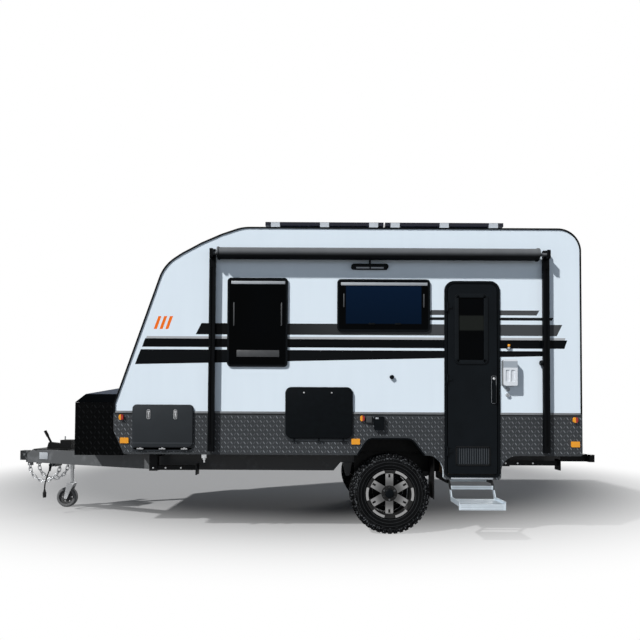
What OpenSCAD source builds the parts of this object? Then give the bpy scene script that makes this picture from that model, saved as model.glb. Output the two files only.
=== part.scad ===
// Single-axle travel caravan on its jockey wheel, in millimetres.
// Modelled from the nose of the body (x = 0, rearwards is +x), the centreline
// (y = 0, the door side is -y) and the ground (z = 0), then moved so that the
// origin is under the middle of the whole caravan.

/* [Body] */
// Length of the side wall, nose to rear
body_l = 4500; // [4300:10:4900]
// Width over the side walls
body_w = 2200; // [2100:10:2400]
// Height of the roof above the ground
roof_z = 2972; // [2900:4:3040]
// Height of the side walls' lower edge
skirt_z = 770; // [740:5:790]
// Height of the seam between wall and tread plate
belt_z = 1166; // [1150:2:1190]
// Thickness of the composite side walls
wall_t = 36; // [28:1:44]
// Thickness of front, roof and rear panels
shell_t = 40; // [30:1:50]
// Thickness of the floor panel
floor_t = 36; // [28:1:44]
// Where the upright nose starts
nose_low_z = 992; // [960:4:1020]
// Where the upright nose ends
nose_high_z = 1257; // [1220:4:1290]
// How far the nose is cut back at its foot
nose_cut = 100; // [80:5:120]
// Corner of the raked front and the brow, from the nose
brow_x = 462; // [440:2:490]
// Height of that corner
brow_z = 2598; // [2570:1:2630]
// Corner of the brow and the roof, from the nose
crown_x = 1222; // [1190:4:1260]
// How far the brow bulges from a straight line
brow_bulge = 36; // [20:2:44]
// Radius of the brow corner
brow_r = 380; // [300:10:400]
// Radius of the crown corner
crown_r = 420; // [350:10:480]
// Radius of the rear roof corner
rear_r = 225; // [180:5:260]
// Thickness of the tread plate cladding
plate_t = 4; // [3:0.5:6]
// Width of the edge moulding
mould_w = 14; // [10:1:20]

/* [Wheels] */
// Axle behind the nose
axle_x = 2665; // [2620:5:2720]
// Tyre diameter
tyre_d = 776; // [740:2:790]
// Tyre section width
tyre_w = 235; // [215:5:255]
// Rim seat diameter
rim_d = 440; // [420:2:450]
// Wheel centre planes, in from the side walls
wheel_in = 175; // [160:5:200]
// Spokes in the alloy wheel
spokes = 6; // [5:1:7]
// Axle beam, square
axle_b = 50; // [45:1:60]
// Spindle radius
spindle_r = 30; // [26:1:34]

/* [Chassis] */
// Height of the main rails' top
rail_top_z = 770; // [760:2:780]
// Depth of the main rails behind the axle hanger
rail_h = 100; // [90:2:110]
// Depth of the drawbar and of the rails ahead of the hanger
drawbar_h = 150; // [140:2:160]
// Width of rails and drawbar
rail_w = 50; // [44:1:60]
// Main rails' centre lines, in from the side walls
rail_in = 340; // [330:5:350]
// Drawbar top
drawbar_top_z = 737; // [732:1:742]
// Coupling's front, ahead of the nose
tow_reach = 1523; // [1500:1:1600]
// Hitch pin radius
tow_pin_r = 12.5; // [11:0.5:14]
// Height of the hitch block
tow_block_h = 110; // [100:2:120]
// Spring eyes, fore and aft of the axle
eye_x = 400; // [380:5:420]
// Height of the spring eyes
eye_z = 560; // [550:2:575]

/* [Entry door] */
// Hinge edge of the door, behind the nose
door_x = 3208; // [3190:2:3226]
// Door leaf width
door_w = 472; // [456:2:488]
// Door leaf foot
door_z = 594; // [586:1:602]
// Door leaf height
door_h = 1828; // [1800:4:1852]
// Door leaf thickness
door_t = 38; // [32:1:44]
// Clearance round the leaf
door_gap = 8; // [7:0.5:10]
// Step width
step_w = 418; // [390:2:430]
// Step reach beyond the wall
step_reach = 345; // [320:5:370]
// Step tread height
step_z = 350; // [330:5:370]

/* [Front box] */
// Box length, front to back
box_l = 480; // [440:5:520]
// Box width
box_w = 1720; // [1640:10:1780]
// Height of the lid's seam
box_seam_z = 1268; // [1240:4:1290]
// Height of the lid's shoulder
box_top_z = 1353; // [1335:2:1370]
// Height of the lid's ridge
box_ridge_z = 1438; // [1420:2:1450]

/* [Jockey wheel] */
// Jockey wheel behind the coupling's front
jockey_x = 438; // [420:2:470]
// Jockey wheel off the centreline
jockey_y = 310; // [300:5:325]
// Jockey wheel diameter
jockey_d = 244; // [230:2:260]
// Jockey wheel width
jockey_w = 76; // [66:2:86]

/* [Awning] */
// Front awning arm behind the nose
arm_front_x = 942; // [920:2:960]
// Rear awning arm behind the nose
arm_rear_x = 4145; // [4120:5:4170]
// Height of the roller's axis
roller_z = 2689; // [2670:1:2706]
// Roller diameter
roller_d = 112; // [104:2:120]
// Roller's axis, out from the wall
roller_out = 78; // [70:2:90]

/* [Hidden] */
$fn = 48;
eps = 0.5;
running_gap = 0.3;
half_w = body_w / 2;
track = body_w - 2 * wheel_in;
rail_gauge = body_w - 2 * rail_in;
inner_w = half_w - wall_t;
NEAR = -1;
OFF = 1;

// Outlines are tables of corners [x, z, radius], counter-clockwise.
function xy(p) = [p[0], p[1]];
function unit(v) = v / norm(v);
function left(v) = [-v[1], v[0]];
function edge_normal(p, i) = left(unit(xy(p[(i + 1) % len(p)]) - xy(p[i])));
function before(p, i) = (i + len(p) - 1) % len(p);
function corner_push(p, i) =
    let (n0 = edge_normal(p, before(p, i)), n1 = edge_normal(p, i)) (n0 + n1) / (1 + n0 * n1);
function inset(p, d) = [for (i = [0:len(p) - 1])
    let (q = xy(p[i]) + d * corner_push(p, i)) [q[0], q[1], max(p[i][2] - d, 0)]];
function rect(x0, z0, w, h, r) = [[x0, z0, r], [x0 + w, z0, r], [x0 + w, z0 + h, r], [x0, z0 + h, r]];

// Polygon with every corner rounded by its own true arc.
module rounded(p) {
    centres = [for (i = [0:len(p) - 1]) xy(p[i]) + p[i][2] * corner_push(p, i)];
    polygon([for (i = [0:len(p) - 1]) each p[i][2] == 0 ? [xy(p[i])] :
        [centres[i] - p[i][2] * edge_normal(p, before(p, i)), centres[i] - p[i][2] * edge_normal(p, i)]]);
    for (i = [0:len(p) - 1]) if (p[i][2] > 0) translate(centres[i]) circle(r = p[i][2]);
}

// Extrude an (x, z) drawing along y, from y0 over t.
module along_y(y0, t) translate([0, y0 + t, 0]) rotate([90, 0, 0]) linear_extrude(t) children();
// Extrude a (y, z) drawing along x, from x0 over t.
module along_x(x0, t) translate([x0, 0, 0]) rotate([90, 0, 90]) linear_extrude(t) children();
// Fix an (x, z) drawing to the outside of one wall: from depth `deep` inside it to `proud` outside.
module on_wall(s, deep, proud) along_y(s < 0 ? -half_w - proud : half_w - deep, deep + proud) children();
module rod_x(x0, l, y, z, r) translate([x0, y, z]) rotate([0, 90, 0]) cylinder(h = l, r = r);
module rod_y(x, y0, l, z, r) translate([x, y0, z]) rotate([-90, 0, 0]) cylinder(h = l, r = r);
module rod_z(x, y, z0, l, r) translate([x, y, z0]) cylinder(h = l, r = r);
module mirror_y(s) mirror([0, s > 0 ? 1 : 0, 0]) children();
// Origin under the middle of the caravan.
bumper_gap = 205;
bumper_d = 50;
x_front = -tow_reach;
x_rear = body_l + bumper_gap + bumper_d;
hatch_proud = 10;
hinge_r = 7;
hinge_out = hatch_proud + 10;
off_reach = hinge_out + hinge_r;
module place() translate([-(x_front + x_rear) / 2, (step_reach - off_reach) / 2, 0]) children();

// Body shell
brow_rise = [crown_x - brow_x, roof_z - brow_z];
function brow_at(t) = let (q = [brow_x, brow_z] + t * brow_rise + 4 * t * (1 - t) * brow_bulge * left(unit(brow_rise))) [q[0], q[1], 0];
body = [[nose_cut, skirt_z, 20], [body_l, skirt_z, 20], [body_l, roof_z, rear_r], [crown_x, roof_z, crown_r],
    brow_at(0.75), brow_at(0.5), brow_at(0.25), [brow_x, brow_z, brow_r], [0, nose_high_z, 60], [0, nose_low_z, 40]];
rail_y = rail_gauge / 2;
floor_z = rail_top_z;

// Window openings [x, z, width, height, corner radius]; both walls, with the off side's own pair.
window_near = [[1084, 1613, 582, 860, 36], [2142, 1960, 895, 505, 36]];
rear_window_in = 1400;
window_off = [[1084, 1960, 895, 505, 36], [body_l - rear_window_in, 1960, 895, 505, 36]];
window_flange = 22;
window_proud = 16;
window_seat = 4;
function windows(s) = s < 0 ? window_near : window_off;
function win(w, d) = inset(rect(w[0], w[1], w[2], w[3], w[4]), d);
// Hatch openings [x, z, width, height, corner radius]
boot = [182, 812, 585, 433, 40];
table = [1647, 902, 650, 519, 60];
hatch_rim = 18;
hatch_gap = 5;
leaf_t = 22;
// Door opening and its frame
frame_w = 12;
frame_lap = 12;
frame_proud = 10;
door_out = 12;
door_top_z = door_z + door_h;
door = [[door_x, door_z, 24], [door_x + door_w, door_z, 24], [door_x + door_w, door_top_z, 64], [door_x, door_top_z, 64]];
door_hole = inset(door, -door_gap);
door_jamb = inset(door, -door_gap - frame_w);
// The wall dips round the foot of the door, with a hollow flare on both sides
door_rim = door_gap + frame_w + frame_lap;
apron_z = door_z - door_rim - 22;
apron_x = [door_x - door_rim - 8, door_x + door_w + door_rim + 8];
flare = 155;
module apron() {
    rounded(rect(apron_x[0], apron_z, apron_x[1] - apron_x[0], belt_z - apron_z, 30));
    for (e = [0, 1]) difference() {
        translate([apron_x[e] - (e == 0 ? flare : 1), skirt_z - flare]) square([flare + 1, flare + 20]);
        translate([apron_x[e] + (e == 0 ? -flare : flare), skirt_z - flare]) circle(r = flare);
    }
}
// Wheel arch cut in the skirt
arch_foot = 343;
arch_front = 223;
arch_rear = 198;
arch_top_z = 930;
arch = [[axle_x - arch_foot, skirt_z - 30, 0], [axle_x + arch_foot, skirt_z - 30, 0],
    [axle_x + arch_rear, arch_top_z, 95], [axle_x - arch_front, arch_top_z, 95]];

module wall_outline(s) difference() {
    union() {
        rounded(body);
        if (s < 0) apron();
    }
    rounded(arch);
    for (w = windows(s)) rounded(win(w, window_flange));
    rounded(inset(rect(boot[0], boot[1], boot[2], boot[3], boot[4]), hatch_rim));
    if (s < 0) {
        rounded(inset(rect(table[0], table[1], table[2], table[3], table[4]), hatch_rim));
        rounded(door_jamb);
    }
}

module side_wall_near() color("white") along_y(-half_w, wall_t) wall_outline(NEAR);
module side_wall_off() color("white") along_y(inner_w, wall_t) wall_outline(OFF);

// One strip of the shell between the side walls, kept where the sector says.
module shell_strip(sector) along_y(-inner_w, 2 * inner_w) intersection() {
    difference() {
        rounded(body);
        rounded(inset(body, shell_t));
        translate([nose_cut + shell_t, skirt_z - eps]) square([body_l - nose_cut - 2 * shell_t, 2 * shell_t]);
    }
    polygon(sector);
}
shell_in = body_l / 2;
roof_cut_x = crown_x + 260;
rear_cut_z = roof_z - rear_r - 20;
far = 400;
front_sector = [[-far, floor_z + floor_t], [shell_in, floor_z + floor_t], [roof_cut_x, roof_z - far],
    [roof_cut_x, roof_z + far], [-far, roof_z + far]];
roof_sector = [[roof_cut_x, roof_z + far], [roof_cut_x, roof_z - far], [body_l - far, rear_cut_z],
    [body_l + far, rear_cut_z], [body_l + far, roof_z + far]];
rear_sector = [[body_l - far, floor_z + floor_t], [body_l + far, floor_z + floor_t],
    [body_l + far, rear_cut_z], [body_l - far, rear_cut_z]];
module front_wall() color("white") shell_strip(front_sector);
module roof_panel() color("white") shell_strip(roof_sector);
module rear_wall() color("white") shell_strip(rear_sector);

// Floor with the step well inside the door
well_t = 20;
well_z = door_z - 10;
well_in = rail_y + rail_w / 2 + 6;
// Wheel boxes let into the floor
guard_half = tyre_d / 2 + 30;
guard_w = inner_w - rail_y - rail_w / 2 - 1;
guard_top_z = 960;
module floor_panel() color("burlywood") difference() {
    union() {
        translate([nose_cut, -inner_w, floor_z]) cube([body_l - nose_cut, 2 * inner_w, floor_t]);
        translate([door_x - frame_w, -inner_w, well_z])
            cube([door_w + 2 * frame_w, inner_w - well_in, floor_z + floor_t - well_z]);
    }
    translate([door_x - frame_w + well_t, -inner_w - eps, well_z + well_t])
        cube([door_w + 2 * frame_w - 2 * well_t, inner_w - well_in - well_t + eps, floor_z + far]);
    for (s = [NEAR, OFF]) translate([axle_x - guard_half, s < 0 ? -inner_w - eps : inner_w - guard_w, floor_z - eps])
        cube([2 * guard_half, guard_w + eps, floor_t + 2 * eps]);
}

// Tread plate along both sides and the foot of the nose
module plate_outline(s) difference() {
    intersection() {
        wall_outline(s);
        translate([-far, 0]) square([body_l + 2 * far, belt_z]);
    }
    rounded(rect(boot[0], boot[1], boot[2], boot[3], boot[4]));
    if (s < 0) {
        rounded(rect(table[0], table[1], table[2], table[3], table[4]));
        rounded(inset(door_jamb, -frame_lap));
    }
}
module tread_plates() color("dimgray") {
    on_wall(NEAR, 0, plate_t) plate_outline(NEAR);
    on_wall(OFF, 0, plate_t) plate_outline(OFF);
    translate([-plate_t, -half_w, nose_low_z + 60]) cube([plate_t, body_w, nose_high_z - nose_low_z - 140]);
    translate([body_l, -half_w, skirt_z + 30]) cube([plate_t, body_w, belt_z - skirt_z - 30]);
}

// Black moulding over the edge of both side walls, above the tread plate
module edge_mouldings() color("black") for (s = [NEAR, OFF]) on_wall(s, 0, 8) intersection() {
    difference() {
        rounded(body);
        rounded(inset(body, mould_w));
    }
    translate([-far, belt_z + 1]) square([body_l + 2 * far, roof_z]);
}

// Windows: a flanged frame through the wall and a pane set in it
module window_frames() color("black") for (s = [NEAR, OFF], w = windows(s)) difference() {
    union() {
        on_wall(s, 0, window_proud) rounded(win(w, 0));
        on_wall(s, wall_t, 0) rounded(win(w, window_flange));
    }
    on_wall(s, wall_t + eps, window_proud + eps) rounded(win(w, window_flange + 14));
    on_wall(s, -window_seat, window_proud + eps) rounded(win(w, window_flange - 4));
}
module window_panes() color("black", 0.6) for (s = [NEAR, OFF], w = windows(s))
    on_wall(s, -window_seat, window_proud - 2) rounded(win(w, window_flange - 4));

// Flanged frames of the boot doors and the folding table
module hatch_frame(s, h) difference() {
    union() {
        on_wall(s, 0, hatch_proud) rounded(rect(h[0], h[1], h[2], h[3], h[4]));
        on_wall(s, wall_t, 0) rounded(inset(rect(h[0], h[1], h[2], h[3], h[4]), hatch_rim));
    }
    on_wall(s, wall_t - 10, hatch_proud + eps) rounded(inset(rect(h[0], h[1], h[2], h[3], h[4]), hatch_rim + 6));
    if (h == boot) on_wall(s, wall_t + eps, 0)
        rounded(inset(rect(h[0], h[1], h[2], h[3], h[4]), hatch_rim + 30));
}
knuckle_l = 60;
function hinge_z(h) = h[1] + 8;
// Three hinges per hatch: middle knuckle on the leaf, outer two on the frame
function hinge_xs(h) = [for (k = [0.14, 0.5, 0.86]) h[0] + k * h[2]];
module knuckle(s, x, l, z, deep, up) {
    rod_x(x, l, s * (half_w + hinge_out), z, hinge_r);
    translate([x, s < 0 ? -half_w - hinge_out : half_w + hinge_out - deep, up ? z : z - hinge_r])
        cube([l, deep, hinge_r]);
}
module hatch_knuckles(s, h) for (x = hinge_xs(h), d = [-1, 1])
    knuckle(s, x - knuckle_l / 6 + d * (knuckle_l / 3 + running_gap), knuckle_l / 3, hinge_z(h), hinge_out - hatch_proud, false);
module hatch_frames() color("dimgray") for (f = [[NEAR, boot], [OFF, boot], [NEAR, table]]) union() {
    hatch_frame(f[0], f[1]);
    hatch_knuckles(f[0], f[1]);
}
// Leaf in the frame's opening, its middle knuckles wrapping the hinge line
module hatch_leaf(s, h) {
    difference() {
        on_wall(s, 0, hatch_proud + 8) rounded(inset(rect(h[0], h[1], h[2], h[3], h[4]), hatch_rim + 6 + hatch_gap));
        on_wall(s, eps, 4) rounded(inset(rect(h[0], h[1], h[2], h[3], h[4]), hatch_rim + 50));
    }
    for (x = hinge_xs(h)) union() {
        rod_x(x - knuckle_l / 6, knuckle_l / 3, s * (half_w + hinge_out), hinge_z(h), hinge_r);
        on_wall(s, -hatch_proud - 1, hatch_proud + 8) translate([x - knuckle_l / 6, hinge_z(h)])
            square([knuckle_l / 3, hatch_rim + 30]);
    }
}
module boot_door_near() color("dimgray") hatch_leaf(NEAR, boot);
module boot_door_off() color("dimgray") hatch_leaf(OFF, boot);
module table_leaf() color("black") hatch_leaf(NEAR, table);

// Door frame lining the opening, with its share of the hinge knuckles
hinge_axis_x = door_x - 5;
hinge_axis_y = -half_w - door_out - 9;
door_hinge_z = [for (k = [0.12, 0.5, 0.88]) door_z + k * door_h];
door_knuckle = 90;
door_hinge_r = 8;
module door_knuckle_pair(z, x0) for (d = [-1, 1]) {
    z0 = z - door_knuckle / 6 + d * (door_knuckle / 3 + running_gap);
    rod_z(hinge_axis_x, hinge_axis_y, z0, door_knuckle / 3, door_hinge_r);
    translate([x0, hinge_axis_y, z0]) cube([hinge_axis_x - x0, door_hinge_r, door_knuckle / 3]);
    translate([x0, hinge_axis_y, z0]) cube([door_hinge_r, -hinge_axis_y - half_w - frame_proud, door_knuckle / 3]);
}
module door_frame() color("black") {
    difference() {
        union() {
            on_wall(NEAR, 0, frame_proud) rounded(inset(door_jamb, -frame_lap));
            on_wall(NEAR, wall_t, 0) rounded(door_jamb);
        }
        on_wall(NEAR, wall_t + eps, frame_proud + eps) rounded(door_hole);
    }
    for (z = door_hinge_z) door_knuckle_pair(z, door_x - door_gap - frame_w - 6);
}
// Door leaf with its window rebate, louvre and middle knuckles
door_window = [door_x + 71, 1655, 308, 668, 40];
louvre = [door_x + 88, 690, 303, 156];
louvre_n = 14;
module entry_door() color("black") {
    difference() {
        on_wall(NEAR, door_t - door_out, door_out) rounded(door);
        on_wall(NEAR, door_t, door_out + eps) rounded(win(door_window, 24));
        on_wall(NEAR, 6 - door_out, door_out + eps) rounded(win(door_window, 0));
        for (i = [0:louvre_n - 1])
            on_wall(NEAR, 4 - door_out, door_out + eps)
                translate([louvre[0] + (i + 0.25) * louvre[2] / louvre_n, louvre[1]])
                    square([louvre[2] / louvre_n / 2, louvre[3]]);
    }
    for (z = door_hinge_z) {
        rod_z(hinge_axis_x, hinge_axis_y, z - door_knuckle / 6, door_knuckle / 3, door_hinge_r);
        translate([hinge_axis_x, hinge_axis_y, z - door_knuckle / 6]) cube([45, 9, door_knuckle / 3]);
    }
}
module door_pane() color("black", 0.6) on_wall(NEAR, 6 - door_out, door_out - 1) rounded(win(door_window, 0.2));
handle_in = 54;
handle = [door_x + door_w - handle_in, 1272, 44, 264];
module door_handle() color("gray") {
    on_wall(NEAR, -door_out, door_out + 6) rounded(rect(handle[0], handle[1], handle[2], handle[3], 14));
    on_wall(NEAR, -door_out - 6, door_out + 26) translate([handle[0] + 10, handle[1] + 20]) square([18, 40]);
    on_wall(NEAR, -door_out - 18, door_out + 30)
        rounded(rect(handle[0] + 8, handle[1] + 20, 22, handle[3] - 90, 9));
}

// Roll-out awning stowed against the wall: roller, end knuckles and two folded arms
roller_y = -half_w - roller_out;
arm_w = 58;
roller_in = [65, 100];
arm_d = 34;
arm_out = 14;
arm_foot_z = 800;
arm_top_z = roller_z + 52;
arms_x = [arm_front_x, arm_rear_x];
module awning_roller() color("black") {
    rod_x(arm_front_x + roller_in[0], arm_rear_x - arm_front_x - roller_in[0] - roller_in[1], roller_y, roller_z, roller_d / 2);
    rod_x(arm_front_x, arm_rear_x - arm_front_x, roller_y, roller_z, 16);
    for (x = [arm_front_x + roller_in[0] - 8, arm_rear_x - roller_in[1] - 8]) rod_x(x, 16, roller_y, roller_z, roller_d / 2 + 6);
}
module awning_arms() color("black") for (x = arms_x) {
    difference() {
        union() {
            translate([x - arm_w / 2, -half_w - arm_out - arm_d, arm_foot_z])
                cube([arm_w, arm_d, arm_top_z - arm_foot_z]);
            translate([x - arm_w / 4, roller_y - 30, roller_z - 40]) cube([arm_w / 2, roller_out - arm_out, 80]);
        }
        rod_x(x - arm_w, 2 * arm_w, roller_y, roller_z, 16 + running_gap);
        translate([x - 9, -half_w - arm_out - arm_d - eps, arm_foot_z + 60]) cube([18, 8, roller_z - arm_foot_z - 180]);
    }
    for (z = [arm_foot_z + 8, arm_foot_z + 290, arm_top_z - 90])
        translate([x - 20, -half_w - arm_out, z]) cube([40, arm_out - (z < belt_z ? plate_t : 0), 60]);
}

// Lamps and fittings on the door side [x, z, width, height, radius, proud]
module fitting(f) on_wall(NEAR, f[1] < belt_z ? -plate_t : 0, f[5]) rounded(rect(f[0], f[1], f[2], f[3], f[4]));
outlet = [3728, 1440, 130, 250, 14, 66];
module outlet_box() color("white") difference() {
    fitting(outlet);
    for (k = [0, 1]) on_wall(NEAR, -outlet[5] + 6, outlet[5] + eps)
        rounded(rect(outlet[0] + 19 + k * 50, outlet[1] + 40, 36, outlet[3] - 139, 8));
}
// Annexe lamp, porch lamp, tap, two sockets, power inlet and vent
fittings = [[2275, 2558, 358, 52, 25, 36], [3772, 1790, 48, 66, 20, 14], [2650, 1500, 40, 40, 18, 22], [3766, 1390, 36, 36, 17, 14], [3766, 1336, 36, 36, 17, 14],
    [2500, 1010, 96, 130, 14, 34], [2422, 1080, 58, 70, 6, 20]];
module wall_fittings() color("black") for (f = fittings) fitting(f);
// Side markers and reflectors, as [x, z]
lamp_in = 92;
reflector_in = 109;
markers = [[56, 1096], [2366, 1096], [body_l - lamp_in, 1090]];
reflector_spots = [[66, 872], [2284, 872], [body_l - reflector_in, 856]];
module both_walls(spots, w, h, r, proud) for (s = [NEAR, OFF], p = spots)
    on_wall(s, -plate_t, plate_t + proud) rounded(rect(p[0], p[1], w, h, r));
module marker_lamps() color("red") both_walls(markers, 43, 53, 18, 20);
module reflectors() color("orange") both_walls(reflector_spots, 82, 55, 6, 8);
tail = [880, 120, 260];
module tail_lamps() color("red") for (s = [NEAR, OFF]) along_x(body_l + plate_t, 28)
    rounded(rect(s * (half_w - 130) - tail[1] / 2, tail[0], tail[1], tail[2], 20));

// Roof
panel_x = 1436;
panel_l = 1160;
panel_w = 600;
panel_gap = 14;
panel_t = 35;
bracket_h = 36;
panel_y = -half_w + 52;
panels_x = [panel_x, panel_x + panel_l + panel_gap];
module solar_panels() color("black") for (x = panels_x) difference() {
    translate([x, panel_y, roof_z + bracket_h]) cube([panel_l, panel_w, panel_t]);
    translate([x + 14, panel_y + 14, roof_z + bracket_h + panel_t - 3]) cube([panel_l - 28, panel_w - 28, 4]);
}
bracket_l = 88;
bracket_t = 6;
module solar_brackets() color("white") for (x = panels_x, k = [0.085, 0.5, 0.915], side = [0, 1])
    translate([x + k * panel_l - bracket_l / 2, panel_y + side * panel_w, roof_z]) mirror([0, side, 0]) {
        translate([0, -bracket_t, 0]) cube([bracket_l, 40 + bracket_t, bracket_h]);
        translate([0, -bracket_t, 0]) cube([bracket_l, bracket_t, bracket_h + panel_t - 4]);
    }
ac_x = 2350;
ac_l = 800;
ac_w = 740;
ac_h = 190;
ac_foot = 40;
ac_rim = 60;
ac_top_in = 160;
ac_r = 80;
ac_gap = 78;
ac_y = panel_y + panel_w + ac_gap;
module ac_layer(d, t) translate([ac_x + d, ac_y + d, 0]) linear_extrude(t) rounded(rect(0, 0, ac_l - 2 * d, ac_w - 2 * d, ac_r));
module air_conditioner() color("white") {
    translate([ac_x, ac_y, roof_z]) cube([ac_l, ac_w, ac_foot]);
    translate([0, 0, roof_z + ac_foot]) hull() {
        ac_layer(ac_rim, ac_rim);
        ac_layer(ac_top_in, ac_h - ac_foot);
    }
}
// Roof hatches [x] at the rear edge of each lid
hatch_size = 420;
hatches_x = [1560, 3560];
hatch_y = -hatch_size / 2;
hatch_base_h = 34;
hatch_hinge_r = 8;
module hatch_base(x) {
    difference() {
        translate([x, hatch_y, roof_z]) cube([hatch_size, hatch_size, hatch_base_h]);
        translate([x + 40, hatch_y + 40, roof_z + 10]) cube([hatch_size - 80, hatch_size - 80, hatch_base_h]);
    }
    for (y = [-150, 90]) {
        rod_y(x + hatch_size + hatch_hinge_r, y, 60, roof_z + hatch_base_h, hatch_hinge_r);
        translate([x + hatch_size - 5, y, roof_z]) cube([13, 60, hatch_base_h]);
    }
}
module hatch_bases() color("white") for (x = hatches_x) hatch_base(x);
module hatch_lid(x) color("whitesmoke") translate([0, 0, roof_z + hatch_base_h + 6]) {
    difference() {
        translate([x - 14, hatch_y - 14, 0]) linear_extrude(46) rounded(rect(0, 0, hatch_size + 8, hatch_size + 28, 40));
        translate([x, hatch_y, -eps]) linear_extrude(36) rounded(rect(0, 0, hatch_size - 20, hatch_size, 30));
    }
    for (y = [-90 + running_gap, 30]) {
        rod_y(x + hatch_size + hatch_hinge_r, y, 60 - 2 * running_gap, -6, hatch_hinge_r);
        translate([x + hatch_size - 16, y, 0]) cube([24, 60 - 2 * running_gap, 10]);
        translate([x + hatch_size + hatch_hinge_r - 6, y, -6]) cube([6, 60 - 2 * running_gap, 8]);
    }
}
module hatch_lid_front() hatch_lid(hatches_x[0]);
module hatch_lid_rear() hatch_lid(hatches_x[1]);

// Front box on the drawbar: open tray, raised back board and hipped lid
box_t = 3;
box_back = -plate_t - 6;
box_front = box_back - box_l;
box_half = box_w / 2;
board_t = 24;
hip = 250;
lid_gap = 2;
box_hinge_z = box_ridge_z + 9;
box_hinge_x = box_back - board_t / 2;
box_hinge_y = [-420, 0, 420];
box_knuckle = 120;
module front_box() color("dimgray") {
    difference() {
        translate([box_front, -box_half, drawbar_top_z]) cube([box_l, box_w, box_seam_z - drawbar_top_z]);
        translate([box_front + box_t, -box_half + box_t, drawbar_top_z + box_t])
            cube([box_l - board_t - box_t, box_w - 2 * box_t, box_seam_z]);
    }
    along_x(box_back - board_t, board_t) polygon([[-box_half, box_seam_z - eps], [box_half, box_seam_z - eps],
        [box_half, box_top_z], [box_half - hip, box_ridge_z], [hip - box_half, box_ridge_z], [-box_half, box_top_z]]);
    for (y = box_hinge_y, d = [-1, 1]) {
        rod_y(box_hinge_x, y - box_knuckle / 6 + d * (box_knuckle / 3 + running_gap), box_knuckle / 3, box_hinge_z, 8);
        translate([box_hinge_x, y - box_knuckle / 6 + d * (box_knuckle / 3 + running_gap), box_ridge_z - eps])
            cube([board_t / 2, box_knuckle / 3, 9]);
    }
}
// Lid: its outer planes meet the shoulder and the ridge
lid_back = box_back - board_t - lid_gap;
chamfer_x = 105;
module lid_solid(d) hull() {
    translate([box_front + d, -box_half + d, box_seam_z + lid_gap - (d > 0 ? eps : 0)])
        cube([lid_back - box_front - 2 * d, box_w - 2 * d, 1]);
    translate([box_front + chamfer_x + d, -box_half + d, box_top_z - 1 - d])
        cube([lid_back - box_front - chamfer_x - 2 * d, box_w - 2 * d, 1]);
    translate([lid_back - 40 - d, -box_half + hip, box_ridge_z - 1 - d])
        cube([40, box_w - 2 * hip, 1]);
}
module box_lid() color("dimgray") {
    difference() {
        lid_solid(0);
        lid_solid(box_t);
    }
    for (y = box_hinge_y) {
        rod_y(box_hinge_x, y - box_knuckle / 6, box_knuckle / 3, box_hinge_z, 8);
        translate([lid_back - 39, y - box_knuckle / 6, box_ridge_z - 1]) cube([39, box_knuckle / 3, 9]);
        translate([lid_back - 1, y - box_knuckle / 6, box_ridge_z + running_gap])
            cube([box_hinge_x - lid_back + 1, box_knuckle / 3, 8 - running_gap]);
    }
}

// Main rails: deep as far back as the front spring hanger
rail_front = 330;
rail_rear = body_l - 60;
rail_step_x = axle_x - eye_x - 142;
deep_z = drawbar_top_z - drawbar_h;
rail_low_z = rail_top_z - rail_h;
hanger_w = 90;
hanger_t = 8;
spring_w = 60;
module rail_outline() {
    polygon([[rail_front, deep_z], [rail_step_x, deep_z], [rail_step_x + 70, rail_low_z], [rail_rear, rail_low_z],
        [rail_rear, rail_top_z], [rail_front, rail_top_z]]);
}
eye_pin_r = 10;
hanger_y = spring_w / 2 + running_gap + hanger_t / 2;
module hanger(x, y) {
    for (d = [-1, 1]) translate([0, y + d * hanger_y, 0]) along_y(-hanger_t / 2, hanger_t) {
        polygon([[x - hanger_w / 2, rail_low_z], [x - 26, eye_z], [x + 26, eye_z], [x + hanger_w / 2, rail_low_z]]);
        translate([x, eye_z]) circle(r = 26);
    }
    rod_y(x, y - hanger_y, 2 * hanger_y, eye_z, eye_pin_r);
    translate([x - hanger_w / 2, y - hanger_y - hanger_t / 2, rail_low_z - 10])
        cube([hanger_w, 2 * hanger_y + hanger_t, 10 + eps]);
}
module main_rails() color("dimgray") for (s = [NEAR, OFF]) {
    along_y(s * rail_y - rail_w / 2, rail_w) rail_outline();
    for (e = [-1, 1]) hanger(axle_x + e * eye_x, s * rail_y);
}
cross_x = [rail_front + 20, 1400, axle_x - eye_x - 180, axle_x + eye_x + 140, 3850, rail_rear - 60];
module cross_members() color("dimgray") for (x = cross_x)
    translate([x, -rail_y + rail_w / 2, rail_low_z + 20]) cube([50, rail_gauge - rail_w, rail_h - 20]);

// Drawbar: two converging beams to a nose plate
nose_in = 108;
nose_plate_x = -tow_reach + nose_in;
nose_half = 62;
bar_slope = (rail_y - nose_half) / (rail_front - nose_plate_x);
module bar_plan(s) polygon([[nose_plate_x, s * (nose_half - rail_w / 2)], [nose_plate_x, s * (nose_half + rail_w / 2)],
    [rail_front, s * (rail_y + rail_w / 2)], [rail_front, s * (rail_y - rail_w / 2)]]);
gland_in = 330;
gland_x = nose_plate_x + gland_in;
gland_y = -nose_half - bar_slope * gland_in;
gland_h = 22;
nose_chamfer = 48;
module drawbar() color("dimgray") {
    difference() {
        for (s = [NEAR, OFF]) translate([0, 0, deep_z]) linear_extrude(drawbar_h) bar_plan(s);
        along_y(-half_w, body_w) polygon([[nose_plate_x - 30, drawbar_top_z - nose_chamfer], [nose_plate_x, drawbar_top_z - nose_chamfer],
            [nose_plate_x + 80, drawbar_top_z + 1], [nose_plate_x - 30, drawbar_top_z + 1]]);
    }
    rod_z(gland_x, gland_y, deep_z - gland_h, gland_h, 11);
    for (s = [NEAR, OFF], x = [chain_x, chain_x + chain_end[0]]) chain_lug(s, x);
}
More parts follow.
